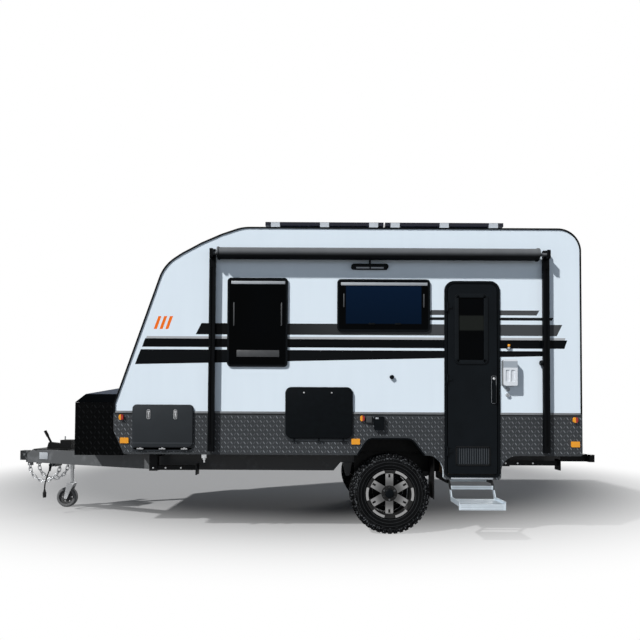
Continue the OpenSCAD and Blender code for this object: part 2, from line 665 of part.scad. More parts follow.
// Lug of a chain: two cheeks from the chain across to the beam, with a pin through the end link
module chain_lug(s, x) {
    beam_y = nose_half + bar_slope * (x - nose_plate_x);
    low = min(chain_y, beam_y) - 14;
    wide = abs(chain_y - beam_y) + 28;
    for (side = [-1, 1]) translate([x + side * lug_half - lug_t / 2, s > 0 ? low : -low - wide, deep_z - lug_h])
        cube([lug_t, wide, lug_h]);
    rod_x(x - lug_half, 2 * lug_half, s * chain_y, lug_pin_z, lug_pin_r);
}
// Coupling: nose plate, shank and a block with the hitch pin's bore
block_l = 74;
block_w = 90;
tow_x = -tow_reach + block_l / 2;
tow_z = drawbar_top_z - drawbar_h / 2;
module tow_coupling() color("silver") {
    translate([nose_plate_x - 14, -nose_half - rail_w / 2, deep_z]) cube([14, 2 * nose_half + rail_w, drawbar_h - nose_chamfer]);
    rod_x(tow_x + block_l / 2 - 4, nose_plate_x - tow_x - block_l / 2 - 6, 0, tow_z, 24);
    difference() {
        translate([tow_x - block_l / 2, -block_w / 2, tow_z - tow_block_h / 2]) cube([block_l, block_w, tow_block_h]);
        rod_z(tow_x, 0, tow_z - tow_block_h, 2 * tow_block_h, tow_pin_r);
    }
}
// Handbrake on a bracket across the drawbar's top
brake_x = nose_plate_x + 165;
brake_plate = [400, 300, 8];
module handbrake() color("black") {
    translate([brake_x - 60, -brake_plate[1] / 2, drawbar_top_z]) cube(brake_plate);
    along_y(-30, 60) rounded([[brake_x + 28, drawbar_top_z + 7, 0], [brake_x + 190, drawbar_top_z + 7, 0],
        [brake_x + 180, drawbar_top_z + 66, 14], [brake_x + 48, drawbar_top_z + 80, 14]]);
    translate([brake_x + 205, -70, drawbar_top_z + 7]) cube([130, 140, 100]);
    translate([brake_x + 74, 0, drawbar_top_z + 50]) rotate([0, -28, 0]) {
        cylinder(h = 180, r = 12);
        translate([0, 0, 110]) cylinder(h = 72, r = 16);
    }
}

// Safety chains: oval links round a half loop, each turned a quarter from the last, between two lugs
link_wire = 6;
link_half_w = 11;
link_inner = 46;
link_play = 0.9;
link_pitch = link_inner - link_play;
links = 13;
link_bend = link_wire + link_half_w;
link_leg = link_inner / 2 - link_half_w;
module chain_link() for (k = [0, 1]) rotate([0, 0, 180 * k]) {
    translate([link_leg, 0, 0]) rotate([0, 0, -90]) rotate_extrude(angle = 180)
        translate([link_bend, 0]) circle(r = link_wire, $fn = 16);
    translate([-link_leg, link_bend, 0]) rotate([0, 90, 0]) cylinder(h = 2 * link_leg, r = link_wire, $fn = 16);
}
// Slope of link i along the loop, and the place where it hangs
function link_angle(i) = 180 * i / (links - 1) - 90;
function link_step(i) = link_pitch * [cos(link_angle(i)), 0, sin(link_angle(i))];
function link_at(i) = i == 0 ? [0, 0, 0] : link_at(i - 1) + (link_step(i - 1) + link_step(i)) / 2;
chain_x = nose_plate_x + 40;
chain_y = 95;
chain_end = link_at(links - 1);
lug_half = 16;
lug_t = 8;
lug_h = 36;
lug_pin_r = 6;
lug_pin_z = deep_z - 24;
chain_top = [chain_x, 0, lug_pin_z + lug_pin_r + running_gap - link_inner / 2];
module safety_chains() color("silver") for (s = [NEAR, OFF]) translate(chain_top + [0, s * chain_y, 0])
    for (i = [0:links - 1]) translate(link_at(i)) rotate([0, -link_angle(i), 0]) rotate([90 * (i % 2), 0, 0]) chain_link();

// Trailer lead: a short cord out of the gland under the drawbar, with its plug
lead_r = 7;
lead_drop = [0, 20, 40, 60, 80, 100, 120, 140, 160, 180, 200, 220, 240, 260, 280];
lead_sway = [0, -3, -8, -14, -21, -28, -35, -42, -48, -54, -58, -61, -63, -64, -64];
lead_sides = 10;
lead_top_z = deep_z - gland_h;
function lead_point(i) = [gland_x + lead_sway[i], gland_y, lead_top_z - lead_drop[i]];
module plug_lead() color("black") polyhedron(
    points = [for (i = [0:len(lead_drop) - 1], k = [0:lead_sides - 1])
        lead_point(i) + lead_r * [cos(360 * k / lead_sides), sin(360 * k / lead_sides), 0]],
    faces = [[for (k = [0:lead_sides - 1]) k], [for (k = [0:lead_sides - 1]) (len(lead_drop)) * lead_sides - 1 - k],
        for (i = [0:len(lead_drop) - 2], k = [0:lead_sides - 1]) let (n = (k + 1) % lead_sides)
            [i * lead_sides + k, (i + 1) * lead_sides + k, (i + 1) * lead_sides + n, i * lead_sides + n]]);
lead_end = lead_point(len(lead_drop) - 1);
module plug() color("black") translate(lead_end) rotate([180, 0, 0]) {
    cylinder(h = 30, r1 = 10, r2 = 15);
    translate([0, 0, 30 - eps]) cylinder(h = 45, r = 19);
    translate([0, 0, 74]) cylinder(h = 14, r = 17);
}

// Axle beam with spindles and brake drums' back plates
hub_y = track / 2;
tyre_r = tyre_d / 2;
axle_z = tyre_r;
drum_r = 150;
drum_y = hub_y - 70;
module axle() color("black") {
    translate([axle_x - axle_b / 2, -drum_y, axle_z - axle_b / 2]) cube([axle_b, 2 * drum_y, axle_b]);
    for (s = [NEAR, OFF]) {
        rod_y(axle_x, s > 0 ? drum_y - 60 : -drum_y, 60, axle_z, drum_r);
        rod_y(axle_x, s > 0 ? drum_y - eps : -hub_y - 10, hub_y + 10 - drum_y + eps, axle_z, spindle_r);
    }
}
// Leaf springs over the axle: one master leaf with rolled eyes and two shorter leaves
leaf_h = 9;
spring_low_z = axle_z + axle_b / 2 + 22;
spring_sag = eye_z - spring_low_z - 2 * leaf_h;
spring_r = (eye_x * eye_x + spring_sag * spring_sag) / (2 * spring_sag);
module leaf_spring(y) {
    along_y(y - spring_w / 2, spring_w) difference() {
        union() {
            for (i = [0:2]) intersection() {
                translate([axle_x, eye_z - spring_sag + spring_r]) difference() {
                    circle(r = spring_r + i * leaf_h, $fn = 180);
                    circle(r = spring_r + (i - 1) * leaf_h, $fn = 180);
                }
                translate([axle_x - eye_x + 110 * i, axle_z]) square([2 * eye_x - 220 * i, eye_z - axle_z + 4]);
            }
            for (e = [-1, 1]) translate([axle_x + e * eye_x, eye_z]) circle(r = 20);
        }
        for (e = [-1, 1]) translate([axle_x + e * eye_x, eye_z]) circle(r = eye_pin_r + running_gap);
    }
    translate([axle_x - 45, y - spring_w / 2, axle_z + axle_b / 2]) cube([90, spring_w, spring_low_z + leaf_h - axle_z - axle_b / 2]);
}
module leaf_springs() color("black") for (s = [NEAR, OFF]) leaf_spring(s * rail_y);

// Road wheels: tyre revolved from its section, alloy wheel with broad pocketed spokes
bead_r = rim_d / 2;
lip_r = bead_r + 14;
lip_out = 19;
bead_w = 16;
bead_rise = 12 / bead_w;
function tyre_section() = [[bead_r, -tyre_w / 2 + 24, 0], [bead_r, tyre_w / 2 - 24, 0], [bead_r + bead_w, tyre_w / 2 - 12, 6],
    [bead_r + 80, tyre_w / 2, 30], [tyre_r - 34, tyre_w / 2 - 8, 20], [tyre_r, tyre_w / 2 - 34, 16],
    [tyre_r, -tyre_w / 2 + 34, 16], [tyre_r - 34, -tyre_w / 2 + 8, 20], [bead_r + 80, -tyre_w / 2, 30],
    [bead_r + bead_w, -tyre_w / 2 + 12, 6]];
function reversed(p) = [for (i = [len(p) - 1:-1:0]) p[i]];
function ccw(p) = let (a = [for (i = [0:len(p) - 1]) let (q = p[(i + 1) % len(p)]) p[i][0] * q[1] - q[0] * p[i][1]])
    (a * [for (v = a) 1]) > 0 ? p : reversed(p);
module tyre(s) color("black") translate([axle_x, s * hub_y, axle_z]) rotate([90, 0, 0])
    rotate_extrude($fn = 96) rounded(ccw(tyre_section()));
module tyre_near() tyre(NEAR);
module tyre_off() tyre(OFF);
// Wheel in its own frame: +z points out of the vehicle
rim_half = tyre_w / 2 - 24;
disc_z = 30;
disc_t = 34;
boss_r = 72;
window_r = bead_r - 26;
spoke_w = 76;
spoke_slot = [34, 20];
spoke_slot_r = 172;
module each_spoke() for (k = [0:spokes - 1]) rotate(360 / spokes * (k + 0.5)) children();
module alloy_wheel() {
    rotate_extrude($fn = 96) polygon([[bead_r - 14, -rim_half], [bead_r - running_gap, -rim_half], [bead_r - running_gap, rim_half],
        [lip_r, rim_half + bead_rise * (lip_r - bead_r) + 1], [lip_r, rim_half + lip_out], [bead_r - 10, rim_half + lip_out],
        [bead_r - 22, rim_half - 10],
        [bead_r - 22, disc_z + 8], [bead_r - 14, disc_z - 20]]);
    difference() {
        union() {
            translate([0, 0, disc_z]) linear_extrude(disc_t) each_spoke()
                translate([0, -spoke_w / 2]) square([window_r + 10, spoke_w]);
            translate([0, 0, disc_z - 24]) cylinder(h = disc_t + 30, r = boss_r);
            translate([0, 0, disc_z]) cylinder(h = disc_t + 22, r = 44);
        }
        translate([0, 0, disc_z + disc_t - 14]) linear_extrude(disc_t) each_spoke()
            translate([spoke_slot_r, 0]) square(spoke_slot, center = true);
        translate([0, 0, disc_z - 60]) cylinder(h = 60 + disc_t, r = spindle_r + running_gap);
    }
}
module rim(s) color("silver") translate([axle_x, s * hub_y, axle_z]) rotate([s < 0 ? 90 : -90, 0, 0]) alloy_wheel();
module rim_near() rim(NEAR);
module rim_off() rim(OFF);

// Wheel boxes over the tyres, and mud flaps behind them
guard_t = 4;
guard = [[axle_x - guard_half, floor_z, 0], [axle_x + guard_half, floor_z, 0],
    [axle_x + guard_half, guard_top_z, 90], [axle_x - guard_half, guard_top_z, 90]];
flap_z = 340;
module mudguards() color("black") for (s = [NEAR, OFF]) mirror_y(s) {
    difference() {
        along_y(-inner_w, guard_w) rounded(guard);
        along_y(-inner_w - eps, guard_w - guard_t + eps) rounded(inset(guard, guard_t));
        translate([axle_x - guard_half + guard_t, -inner_w - eps, floor_z - eps])
            cube([2 * guard_half - 2 * guard_t, guard_w - guard_t + eps, 2 * guard_t]);
    }
    translate([axle_x + guard_half + 4, -hub_y - 110, flap_z]) cube([8, 230, floor_z - flap_z]);
}

// Pull-out step under the door: fixed runners and the sliding tread
step_x = door_x + door_w / 2 - step_w / 2 - 14;
arm_h = 30;
arm_z = apron_z - 6 - arm_h;
runner_z = arm_z - 6;
runner_l = 500;
runner_t = 5;
side_t = 8;
lip_h = 36;
module step_runners() color("black") for (x = [step_x - runner_t - running_gap, step_x + step_w + running_gap])
    translate([x, -inner_w, runner_z]) cube([runner_t, runner_l, well_z - runner_z]);
step_plate = [[-half_w - step_reach, step_z], [-half_w - 60, step_z], [-half_w + 20, arm_z], [-half_w + 200, arm_z],
    [-half_w + 200, arm_z + arm_h], [-half_w - 10, arm_z + arm_h], [-half_w - 90, step_z + 40], [-half_w - step_reach, step_z + 40]];
module step() color("silver") {
    for (x = [step_x, step_x + step_w - side_t]) along_x(x, side_t) polygon(step_plate);
    translate([step_x, -half_w - step_reach, step_z - 4]) cube([step_w, step_reach - 60, 22]);
    translate([step_x, -half_w - step_reach, step_z - lip_h]) cube([step_w, 8, lip_h]);
    translate([step_x, -half_w - 40, step_z + 102]) cube([step_w, 12, 36]);
    translate([step_x, -half_w + 150, arm_z]) cube([step_w, 30, arm_h]);
}

// Drop-down corner legs: bracket on a cross arm and a folding leg, as [x, side, height, length]
leg_b = 44;
leg_out = 185;
leg_y = rail_y + rail_w / 2 + leg_out;
leg_front_x = 352;
leg_front_z = 628;
leg_front_l = 430;
leg_rear_in = 700;
leg_rear_x = body_l - leg_rear_in;
leg_rear_z = 690;
leg_rear_l = 530;
leg_spots = [for (e = [[leg_front_x, leg_front_z, leg_front_l], [leg_rear_x, leg_rear_z, leg_rear_l]], s = [NEAR, OFF])
    [e[0], s, e[1], e[2]]];
leg_arm_drop = 36;
leg_arm_t = 30;
leg_arm_z = rail_top_z - leg_arm_drop;
leg_ear_t = 6;
leg_ear_w = 80;
leg_ear_low = 30;
ear_gap = 1;
leg_pin_r = 10;
leg_half = leg_b / 2 + ear_gap + leg_ear_t;
module leg_bracket(p) {
    for (d = [-1, 1])
        translate([p[0] - leg_ear_w / 2, p[1] * leg_y - leg_ear_t / 2 + d * (leg_half - leg_ear_t / 2), p[2] - leg_ear_low])
            cube([leg_ear_w, leg_ear_t, leg_arm_z + leg_arm_t + leg_ear_low - p[2]]);
    translate([p[0] - leg_ear_w / 2, min(p[1] * (rail_y + rail_w / 2), p[1] * (leg_y + leg_half)), leg_arm_z])
        cube([leg_ear_w, leg_out + leg_half, leg_arm_t]);
    rod_y(p[0], p[1] * leg_y - leg_half, 2 * leg_half, p[2], leg_pin_r);
}
module leg_brackets() color("black") for (p = leg_spots) leg_bracket(p);
leg_foot = [10, 110, 106];
leg_foot_low = 66;
module leg(p) color("black") difference() {
    union() {
        rod_y(p[0], p[1] * leg_y - leg_b / 2, leg_b, p[2], leg_b / 2);
        translate([p[0], p[1] * leg_y - leg_b / 2, p[2] - leg_b / 2]) cube([p[3], leg_b, leg_b]);
        translate([p[0] + p[3] - leg_foot[0], p[1] * leg_y - leg_foot[1] / 2, p[2] - leg_foot_low]) cube(leg_foot);
    }
    rod_y(p[0], p[1] * leg_y - leg_b, 2 * leg_b, p[2], leg_pin_r + running_gap);
}
module leg_front_near() leg(leg_spots[0]);
module leg_front_off() leg(leg_spots[1]);
module leg_rear_near() leg(leg_spots[2]);
module leg_rear_off() leg(leg_spots[3]);

// Rear bumper on two arms
bumper_h = 75;
bumper_half = rail_y + 90;
bumper_z = 690;
bumper_arm_w = 40;
module rear_bumper() color("black") {
    translate([body_l + bumper_gap, -bumper_half, bumper_z]) cube([bumper_d, 2 * bumper_half, bumper_h]);
    for (s = [NEAR, OFF]) translate([rail_rear, s * rail_y - bumper_arm_w / 2, bumper_z])
        cube([body_l + bumper_gap - rail_rear, bumper_arm_w, bumper_h]);
}

// Jockey wheel: clamped outer tube, then stem, fork and wheel that ride in it
jockey_px = -tow_reach + jockey_x;
jockey_tube_r = 30;
jockey_stem_r = 24;
jockey_low_z = 470;
jockey_high_z = 800;
function bar_face(x) = nose_half + rail_w / 2 + bar_slope * (x - nose_plate_x);
clamp_half = 40;
crank_l = 105;
module jockey_mount() color("silver") difference() {
    union() {
        rod_z(jockey_px, jockey_y, jockey_low_z, jockey_high_z - jockey_low_z, jockey_tube_r);
        translate([0, 0, deep_z + 20]) linear_extrude(110) polygon([
            [jockey_px - clamp_half, bar_face(jockey_px - clamp_half)], [jockey_px + clamp_half, bar_face(jockey_px + clamp_half)],
            [jockey_px + clamp_half, jockey_y + 10], [jockey_px - clamp_half, jockey_y + 10]]);
        rod_z(jockey_px, jockey_y, jockey_high_z - eps, 24, 16);
        translate([jockey_px - crank_l, jockey_y - 8, jockey_high_z + 10]) cube([crank_l, 16, 12]);
        rod_z(jockey_px - crank_l + 9, jockey_y, jockey_high_z + 10, 60, 9);
    }
    rod_z(jockey_px, jockey_y, jockey_low_z - eps, jockey_high_z - jockey_low_z - 20, jockey_stem_r + running_gap);
}
// Stem that winds up and down, with the castor fork turning under it
stem_low_z = 300;
stem_high_z = 620;
jockey_trail = 55;
jockey_axle_z = jockey_d / 2;
jockey_wheel_x = jockey_px - jockey_trail;
fork_t = 5;
fork_gap = 5;
fork_crown_t = 10;
fork_y = jockey_w / 2 + fork_gap;
fork_pin_r = 8;
jockey_holes = 6;
jockey_hole_r = 58;
module jockey_stem() color("silver") rod_z(jockey_px, jockey_y, stem_low_z, stem_high_z - stem_low_z, jockey_stem_r);
module jockey_fork() color("silver") {
    crown_z = stem_low_z - running_gap - fork_crown_t;
    translate([jockey_px - 45, jockey_y - fork_y - fork_t, crown_z]) cube([85, 2 * fork_y + 2 * fork_t, fork_crown_t]);
    for (y = [jockey_y - fork_y - fork_t, jockey_y + fork_y]) along_y(y, fork_t) {
        polygon([[jockey_px - 45, crown_z + 1], [jockey_wheel_x - 20, jockey_axle_z], [jockey_wheel_x + 20, jockey_axle_z],
            [jockey_px + 40, crown_z + 1]]);
        translate([jockey_wheel_x, jockey_axle_z]) circle(r = 20);
    }
    rod_y(jockey_wheel_x, jockey_y - fork_y - fork_t, 2 * fork_y + 2 * fork_t, jockey_axle_z, fork_pin_r);
}
// Solid rubber tyre on a pressed disc, bored for the fork's pin
module jockey_wheel() color("dimgray") translate([jockey_wheel_x, jockey_y, jockey_axle_z]) rotate([90, 0, 0])
    difference() {
        rotate_extrude() rounded([[fork_pin_r + running_gap, -jockey_w / 2, 0], [30, -jockey_w / 2, 0], [34, -jockey_w / 4, 0],
            [jockey_d / 2 - 40, -jockey_w / 4, 0], [jockey_d / 2 - 34, -jockey_w / 2 + 4, 6], [jockey_d / 2, -jockey_w / 2 + 4, 18],
        [jockey_d / 2, jockey_w / 2 - 4, 18], [jockey_d / 2 - 34, jockey_w / 2 - 4, 6], [jockey_d / 2 - 40, jockey_w / 4, 0],
        [34, jockey_w / 4, 0], [30, jockey_w / 2, 0], [fork_pin_r + running_gap, jockey_w / 2, 0]]);
        for (k = [0:jockey_holes - 1]) rotate(360 / jockey_holes * k) translate([jockey_hole_r, 0, -jockey_w])
            cylinder(h = 2 * jockey_w, r = 15);
    }

place() side_wall_near();
place() side_wall_off();
place() front_wall();
place() roof_panel();
place() rear_wall();
place() floor_panel();
place() tread_plates();
place() edge_mouldings();
place() window_frames();
place() window_panes();
place() hatch_frames();
place() boot_door_near();
place() boot_door_off();
place() table_leaf();
place() door_frame();
place() entry_door();
place() door_pane();
place() door_handle();
place() awning_roller();
place() awning_arms();
place() outlet_box();
place() wall_fittings();
place() marker_lamps();
place() reflectors();
place() tail_lamps();
place() solar_panels();
place() solar_brackets();
place() air_conditioner();
place() hatch_bases();
place() hatch_lid_front();
place() hatch_lid_rear();
place() front_box();
place() box_lid();
place() main_rails();
place() cross_members();
place() drawbar();
place() tow_coupling();
place() handbrake();
place() safety_chains();
place() plug_lead();
place() plug();
place() axle();
place() leaf_springs();
place() tyre_near();
place() rim_near();
place() tyre_off();
place() rim_off();
place() mudguards();
place() step_runners();
place() step();
place() leg_brackets();
place() leg_front_near();
place() leg_front_off();
place() leg_rear_near();
place() leg_rear_off();
place() rear_bumper();
place() jockey_mount();
place() jockey_stem();
place() jockey_fork();
place() jockey_wheel();
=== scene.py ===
import math

import bpy
from mathutils import Matrix, Vector


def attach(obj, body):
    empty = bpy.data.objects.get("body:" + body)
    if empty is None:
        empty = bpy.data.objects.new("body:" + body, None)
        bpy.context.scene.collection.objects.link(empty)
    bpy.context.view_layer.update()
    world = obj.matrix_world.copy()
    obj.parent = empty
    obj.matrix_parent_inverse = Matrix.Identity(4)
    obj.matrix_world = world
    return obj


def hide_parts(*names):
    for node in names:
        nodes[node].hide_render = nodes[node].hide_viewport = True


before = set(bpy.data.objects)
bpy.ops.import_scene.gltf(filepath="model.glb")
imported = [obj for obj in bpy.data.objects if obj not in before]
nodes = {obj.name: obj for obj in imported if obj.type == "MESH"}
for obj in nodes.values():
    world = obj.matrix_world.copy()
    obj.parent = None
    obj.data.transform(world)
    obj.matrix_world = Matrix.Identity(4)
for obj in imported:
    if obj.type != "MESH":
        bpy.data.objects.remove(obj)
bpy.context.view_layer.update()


# The photographer's place, square to the door side at chest height, 4.8 m off the wall.
# A moderate wide lens looks almost level, with the frame slid up so that the caravan stands low in it.
NOSE_X, CENTRE_Y = -1.616, 0.159  # where the body's nose and centreline are, in metres


def van(x, y, z):
    """A point in metres from millimetres behind the body's nose, off its centreline and above the ground."""
    return Vector((x / 1000 + NOSE_X, y / 1000 + CENTRE_Y, z / 1000))


lens = bpy.data.cameras.new("door_side_view")
lens.lens, lens.sensor_width, lens.shift_y = 28.08, 36, 0.128
camera = bpy.data.objects.new("door_side_view", lens)
camera.matrix_world = (
    Matrix.Translation(van(1981, -5900, 1161))
    @ Matrix.Rotation(math.radians(91.4), 4, "X")
    @ Matrix.Rotation(math.radians(0.3), 4, "Z")
)
bpy.context.scene.collection.objects.link(camera)
bpy.context.scene.camera = camera
bpy.context.scene.view_settings.view_transform = "Standard"


# The studio: a pale paper floor, painted grey in an oval pool round the caravan and far behind it as painted shade,
# that runs out to white; a dome that is brightest low down, and two suns.
# The stronger sun stands high to the front left, so the rolled awning shades the wall; the other fills the back.
class Finish:
    """An output of a node in one material. Arithmetic on it adds Math nodes, and node() adds any other kind."""

    def __init__(self, tree, socket):
        self.tree, self.socket = tree, socket

    def node(self, kind, sockets=None, out=0, **settings):
        made = self.tree.nodes.new("ShaderNode" + kind)
        for name, value in settings.items():
            setattr(made, name, value)
        for name, value in (sockets or {}).items():
            if isinstance(value, Finish):
                self.tree.links.new(value.socket, made.inputs[name])
            else:
                made.inputs[name].default_value = value
        return Finish(self.tree, made.outputs[out])

    def math(self, operation, *values):
        return self.node("Math", dict(enumerate(values)), operation=operation)

    def __add__(self, other):
        return self.math("ADD", self, other)

    def __radd__(self, other):
        return self.math("ADD", other, self)

    def __sub__(self, other):
        return self.math("SUBTRACT", self, other)

    def __rsub__(self, other):
        return self.math("SUBTRACT", other, self)

    def __mul__(self, other):
        return self.math("MULTIPLY", self, other)

    def __mod__(self, other):
        return self.math("FLOORED_MODULO", self, other)

    def __abs__(self):
        return self.math("ABSOLUTE", self)

    def __gt__(self, other):
        return self.math("GREATER_THAN", self, other)

    def __lt__(self, other):
        return self.math("LESS_THAN", self, other)

    def __and__(self, other):
        return self.math("MINIMUM", self, other)

    def __or__(self, other):
        return self.math("MAXIMUM", self, other)

    def along(self, axis):
        return self.node("SeparateXYZ", {0: self}, "XYZ".index(axis))

    def behind_nose(self):
        return self.along("X") * 1000 - NOSE_X * 1000

    def off_centre(self):
        return abs(self.along("Y") - CENTRE_Y)

    def facing(self, axis):
        return self.node("TexCoord", out="Normal").along(axis)

    def between(self, low, high):
        return (self > low) & (self < high)

    def wave(self):
        """Rises to 1 at each whole number and falls to 0 half way between."""
        return abs((self % 1) - 0.5) * 2

    def stretched(self, *scales):
        return self.node("VectorMath", {0: self, 1: scales}, operation="MULTIPLY")

    def noise(self, scale, detail=3.0):
        return self.node("TexNoise", {"Vector": self, "Scale": scale, "Detail": detail})

    def soften(self, low, high):
        sockets = {"Value": self, "From Min": low, "From Max": high}
        return self.node("MapRange", sockets, interpolation_type="SMOOTHSTEP")

    def mix(self, first, second):
        return self.node("Mix", {0: self, 6: first, 7: second}, 2, data_type="RGBA")

    def bump(self, strength, distance):
        return self.node("Bump", {"Height": self, "Strength": strength, "Distance": distance})


def new_finish(name, **constants):
    """A material with these shader values, its Object coordinates, and its shader."""
    material = bpy.data.materials.new(name)
    material.use_nodes = True
    shader = material.node_tree.nodes["Principled BSDF"]
    for socket, value in constants.items():
        shader.inputs[socket.replace("_", " ")].default_value = value
    coordinates = material.node_tree.nodes.new("ShaderNodeTexCoord")
    return material, Finish(material.node_tree, coordinates.outputs["Object"]), shader


def feed(shader, **signals):
    """Link signals to the shader's sockets of these names."""
    for socket, signal in signals.items():
        signal.tree.links.new(signal.socket, shader.inputs[socket.replace("_", " ")])


def grey(value, tint=0.0):
    """A grey, with its red taken down and its blue taken up by a tint."""
    return (value * (1 - tint), value, value * (1 + tint), 1)


def seen_directly(start):
    """1 where the camera looks, also in a mirror or through glass, and 0 where light only bounces."""
    rays = [start.node("LightPath", out=ray) for ray in ("Is Camera Ray", "Is Glossy Ray", "Is Transmission Ray")]
    return rays[0] | rays[1] | rays[2]


def alone():
    """Leave edit mode with nothing selected, ready for the next piece."""
    if bpy.context.object and bpy.context.object.mode != "OBJECT":
        bpy.ops.object.mode_set(mode="OBJECT")
    bpy.ops.object.select_all(action="DESELECT")
    bpy.context.tool_settings.mesh_select_mode = (True, False, False)


alone()
bpy.ops.mesh.primitive_circle_add(vertices=128, radius=40, fill_type="NGON")
floor = bpy.context.object
floor.name = "studio_floor"
paper, spot, shader = new_finish("studio_paper", Roughness=0.95, Specular_IOR_Level=0.1)
feed(shader, Base_Color=seen_directly(spot).mix(grey(0.22), grey(0.26)))
# Painted shade: inside an oval round the caravan, reaching far behind it, the paper is grey; beyond it the paper glows
# white.
SHADE_POOL_SCALE, SHADE_POOL_SHIFT = (0.156, 0.17, 1.0), (-0.041, -0.678, 0.0)
shade_pool = spot.node("VectorMath", {0: spot, 1: SHADE_POOL_SCALE, 2: SHADE_POOL_SHIFT}, operation="MULTIPLY_ADD")
fade = shade_pool.node("VectorMath", {0: shade_pool}, "Value", operation="LENGTH").soften(0.6, 1.1)
white = spot.node("Emission", {"Color": grey(1.0), "Strength": 1.0})
faded = spot.node("MixShader", {0: fade & seen_directly(spot), 1: Finish(spot.tree, shader.outputs[0]), 2: white})
spot.tree.links.new(faded.socket, spot.tree.nodes["Material Output"].inputs["Surface"])
floor.data.materials.append(paper)

dome = bpy.data.worlds.new("white_dome")
bpy.context.scene.world = dome
dome.use_nodes = True
sky = Finish(dome.node_tree, dome.node_tree.nodes["Background"].outputs[0])
shown = sky.node("Background", {"Color": grey(1.0), "Strength": 1.0})
height = sky.node("TexCoord", out="Generated").along("Z").soften(0.0, 0.6)
glow = height.mix((0.54, 0.63, 0.76, 1), (0.045, 0.055, 0.07, 1))
dome.node_tree.links.new(glow.socket, dome.node_tree.nodes["Background"].inputs["Color"])
both = sky.node("MixShader", {0: seen_directly(sky), 1: sky, 2: shown})
dome.node_tree.links.new(both.socket, dome.node_tree.nodes["World Output"].inputs["Surface"])

for name, energy, spread, travel in (
    ("front_left_sun", 4.8, 2.5, (0.58, 0.46, -0.67)),
    ("rear_fill", 1.2, 30, (-0.5, -0.84, -0.2)),
):
    sun = bpy.data.objects.new(name, bpy.data.lights.new(name, "SUN"))
    sun.data.energy, sun.data.angle = energy, math.radians(spread)
    sun.rotation_euler = Vector(travel).to_track_quat("-Z", "Y").to_euler()
    bpy.context.scene.collection.objects.link(sun)


# Trailer lead: a short rubber cable that hangs out of its gland under the drawbar.
# It ends in the moulded round plug for the towing vehicle's lamps.
def wear(material, *names):
    """Give a finish to the solids of these names."""
    for name in names:
        slots = nodes[name].material_slots
        if not slots:
            nodes[name].data.materials.append(material)
        for slot in slots:
            slot.material = material


LEAD_X, LEAD_Y, LEAD_TOP = -1085, -194, 565
LEAD_DROP = range(0, 281, 20)
LEAD_SWAY = [0, -3, -8, -14, -21, -28, -35, -42, -48, -54, -58, -61, -63, -64, -64]
lead_route = [van(LEAD_X + sway, LEAD_Y, LEAD_TOP - drop) for sway, drop in zip(LEAD_SWAY, LEAD_DROP)]
cable = bpy.data.curves.new("trailer_lead", "CURVE")
cable.dimensions, cable.use_fill_caps = "3D", True
cable.bevel_depth, cable.bevel_resolution = 0.007, 5
run = cable.splines.new("POLY")
run.points.add(len(lead_route) - 1)
for point, place in zip(run.points, lead_route):
    point.co = (*place, 1)
lead = bpy.data.objects.new("trailer_lead", cable)
bpy.context.scene.collection.objects.link(lead)
rubber, spot, shader = new_finish("cable_rubber", Roughness=0.62, Specular_IOR_Level=0.15)
scuff = spot.noise(90, 5)
feed(
    shader,
    Base_Color=scuff.mix(grey(0.004), grey(0.014)),
    Roughness=0.5 + scuff * 0.25,
    Normal=spot.noise(400).bump(0.15, 0.001),
)
cable.materials.append(rubber)
plug_shell, spot, shader = new_finish("plug_shell", Roughness=0.5, Specular_IOR_Level=0.2)
ring = ((spot.along("Z") * 1000) % 7).soften(1.0, 2.2)
feed(
    shader,
    Base_Color=spot.noise(120).mix(grey(0.006), grey(0.018)),
    Roughness=0.4 + spot.noise(60) * 0.3,
    Normal=ring.bump(0.5, 0.001),
)
wear(plug_shell, "plug")
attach(lead, "caravan")
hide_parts("plug_lead")

# Chassis: welded box-section rails, cross members, drawbar beams, axle and corner legs.
# Primed and sprayed near black, with road dust low down; the rails and drawbar are a paler, rubbed grey.
chassis, spot, shader = new_finish("chassis_paint", Roughness=0.45, Specular_IOR_Level=0.06)
dust = spot.noise(3.2, 6).soften(0.45, 0.75) & (1.0 - spot.along("Z").soften(0.25, 0.85))
chips = spot.noise(55, 6).soften(0.66, 0.72)
paint = spot.noise(14).mix(grey(0.003, 0.1), grey(0.008, 0.1))
feed(
    shader,
    Base_Color=(dust * 0.35).mix(chips.mix(paint, grey(0.04)), (0.07, 0.062, 0.054, 1)),
    Roughness=0.36 + dust * 0.3 + spot.noise(30) * 0.15,
    Normal=spot.noise(650).bump(0.12, 0.001),
)
wear(chassis, "cross_members", "axle", "leaf_springs", "step_runners", "leg_brackets", "rear_bumper")
wear(chassis, "leg_front_near", "leg_front_off", "leg_rear_near", "leg_rear_off")


def beam_paint(name, low, high, tint):
    """Grey paint, rubbed paler in patches."""
    paint, spot, shader = new_finish(name, Roughness=0.42, Specular_IOR_Level=0.15)
    rub = spot.noise(9, 6).soften(0.5, 0.7)
    feed(
        shader,
        Base_Color=rub.mix(grey(low, tint), grey(high, tint)),
        Roughness=0.34 + rub * 0.25,
        Normal=spot.noise(500).bump(0.1, 0.001),
    )
    return paint


wear(beam_paint("rail_paint", 0.03, 0.052, 0.04), "main_rails")
wear(beam_paint("tow_bar_paint", 0.075, 0.11, 0.03), "drawbar")

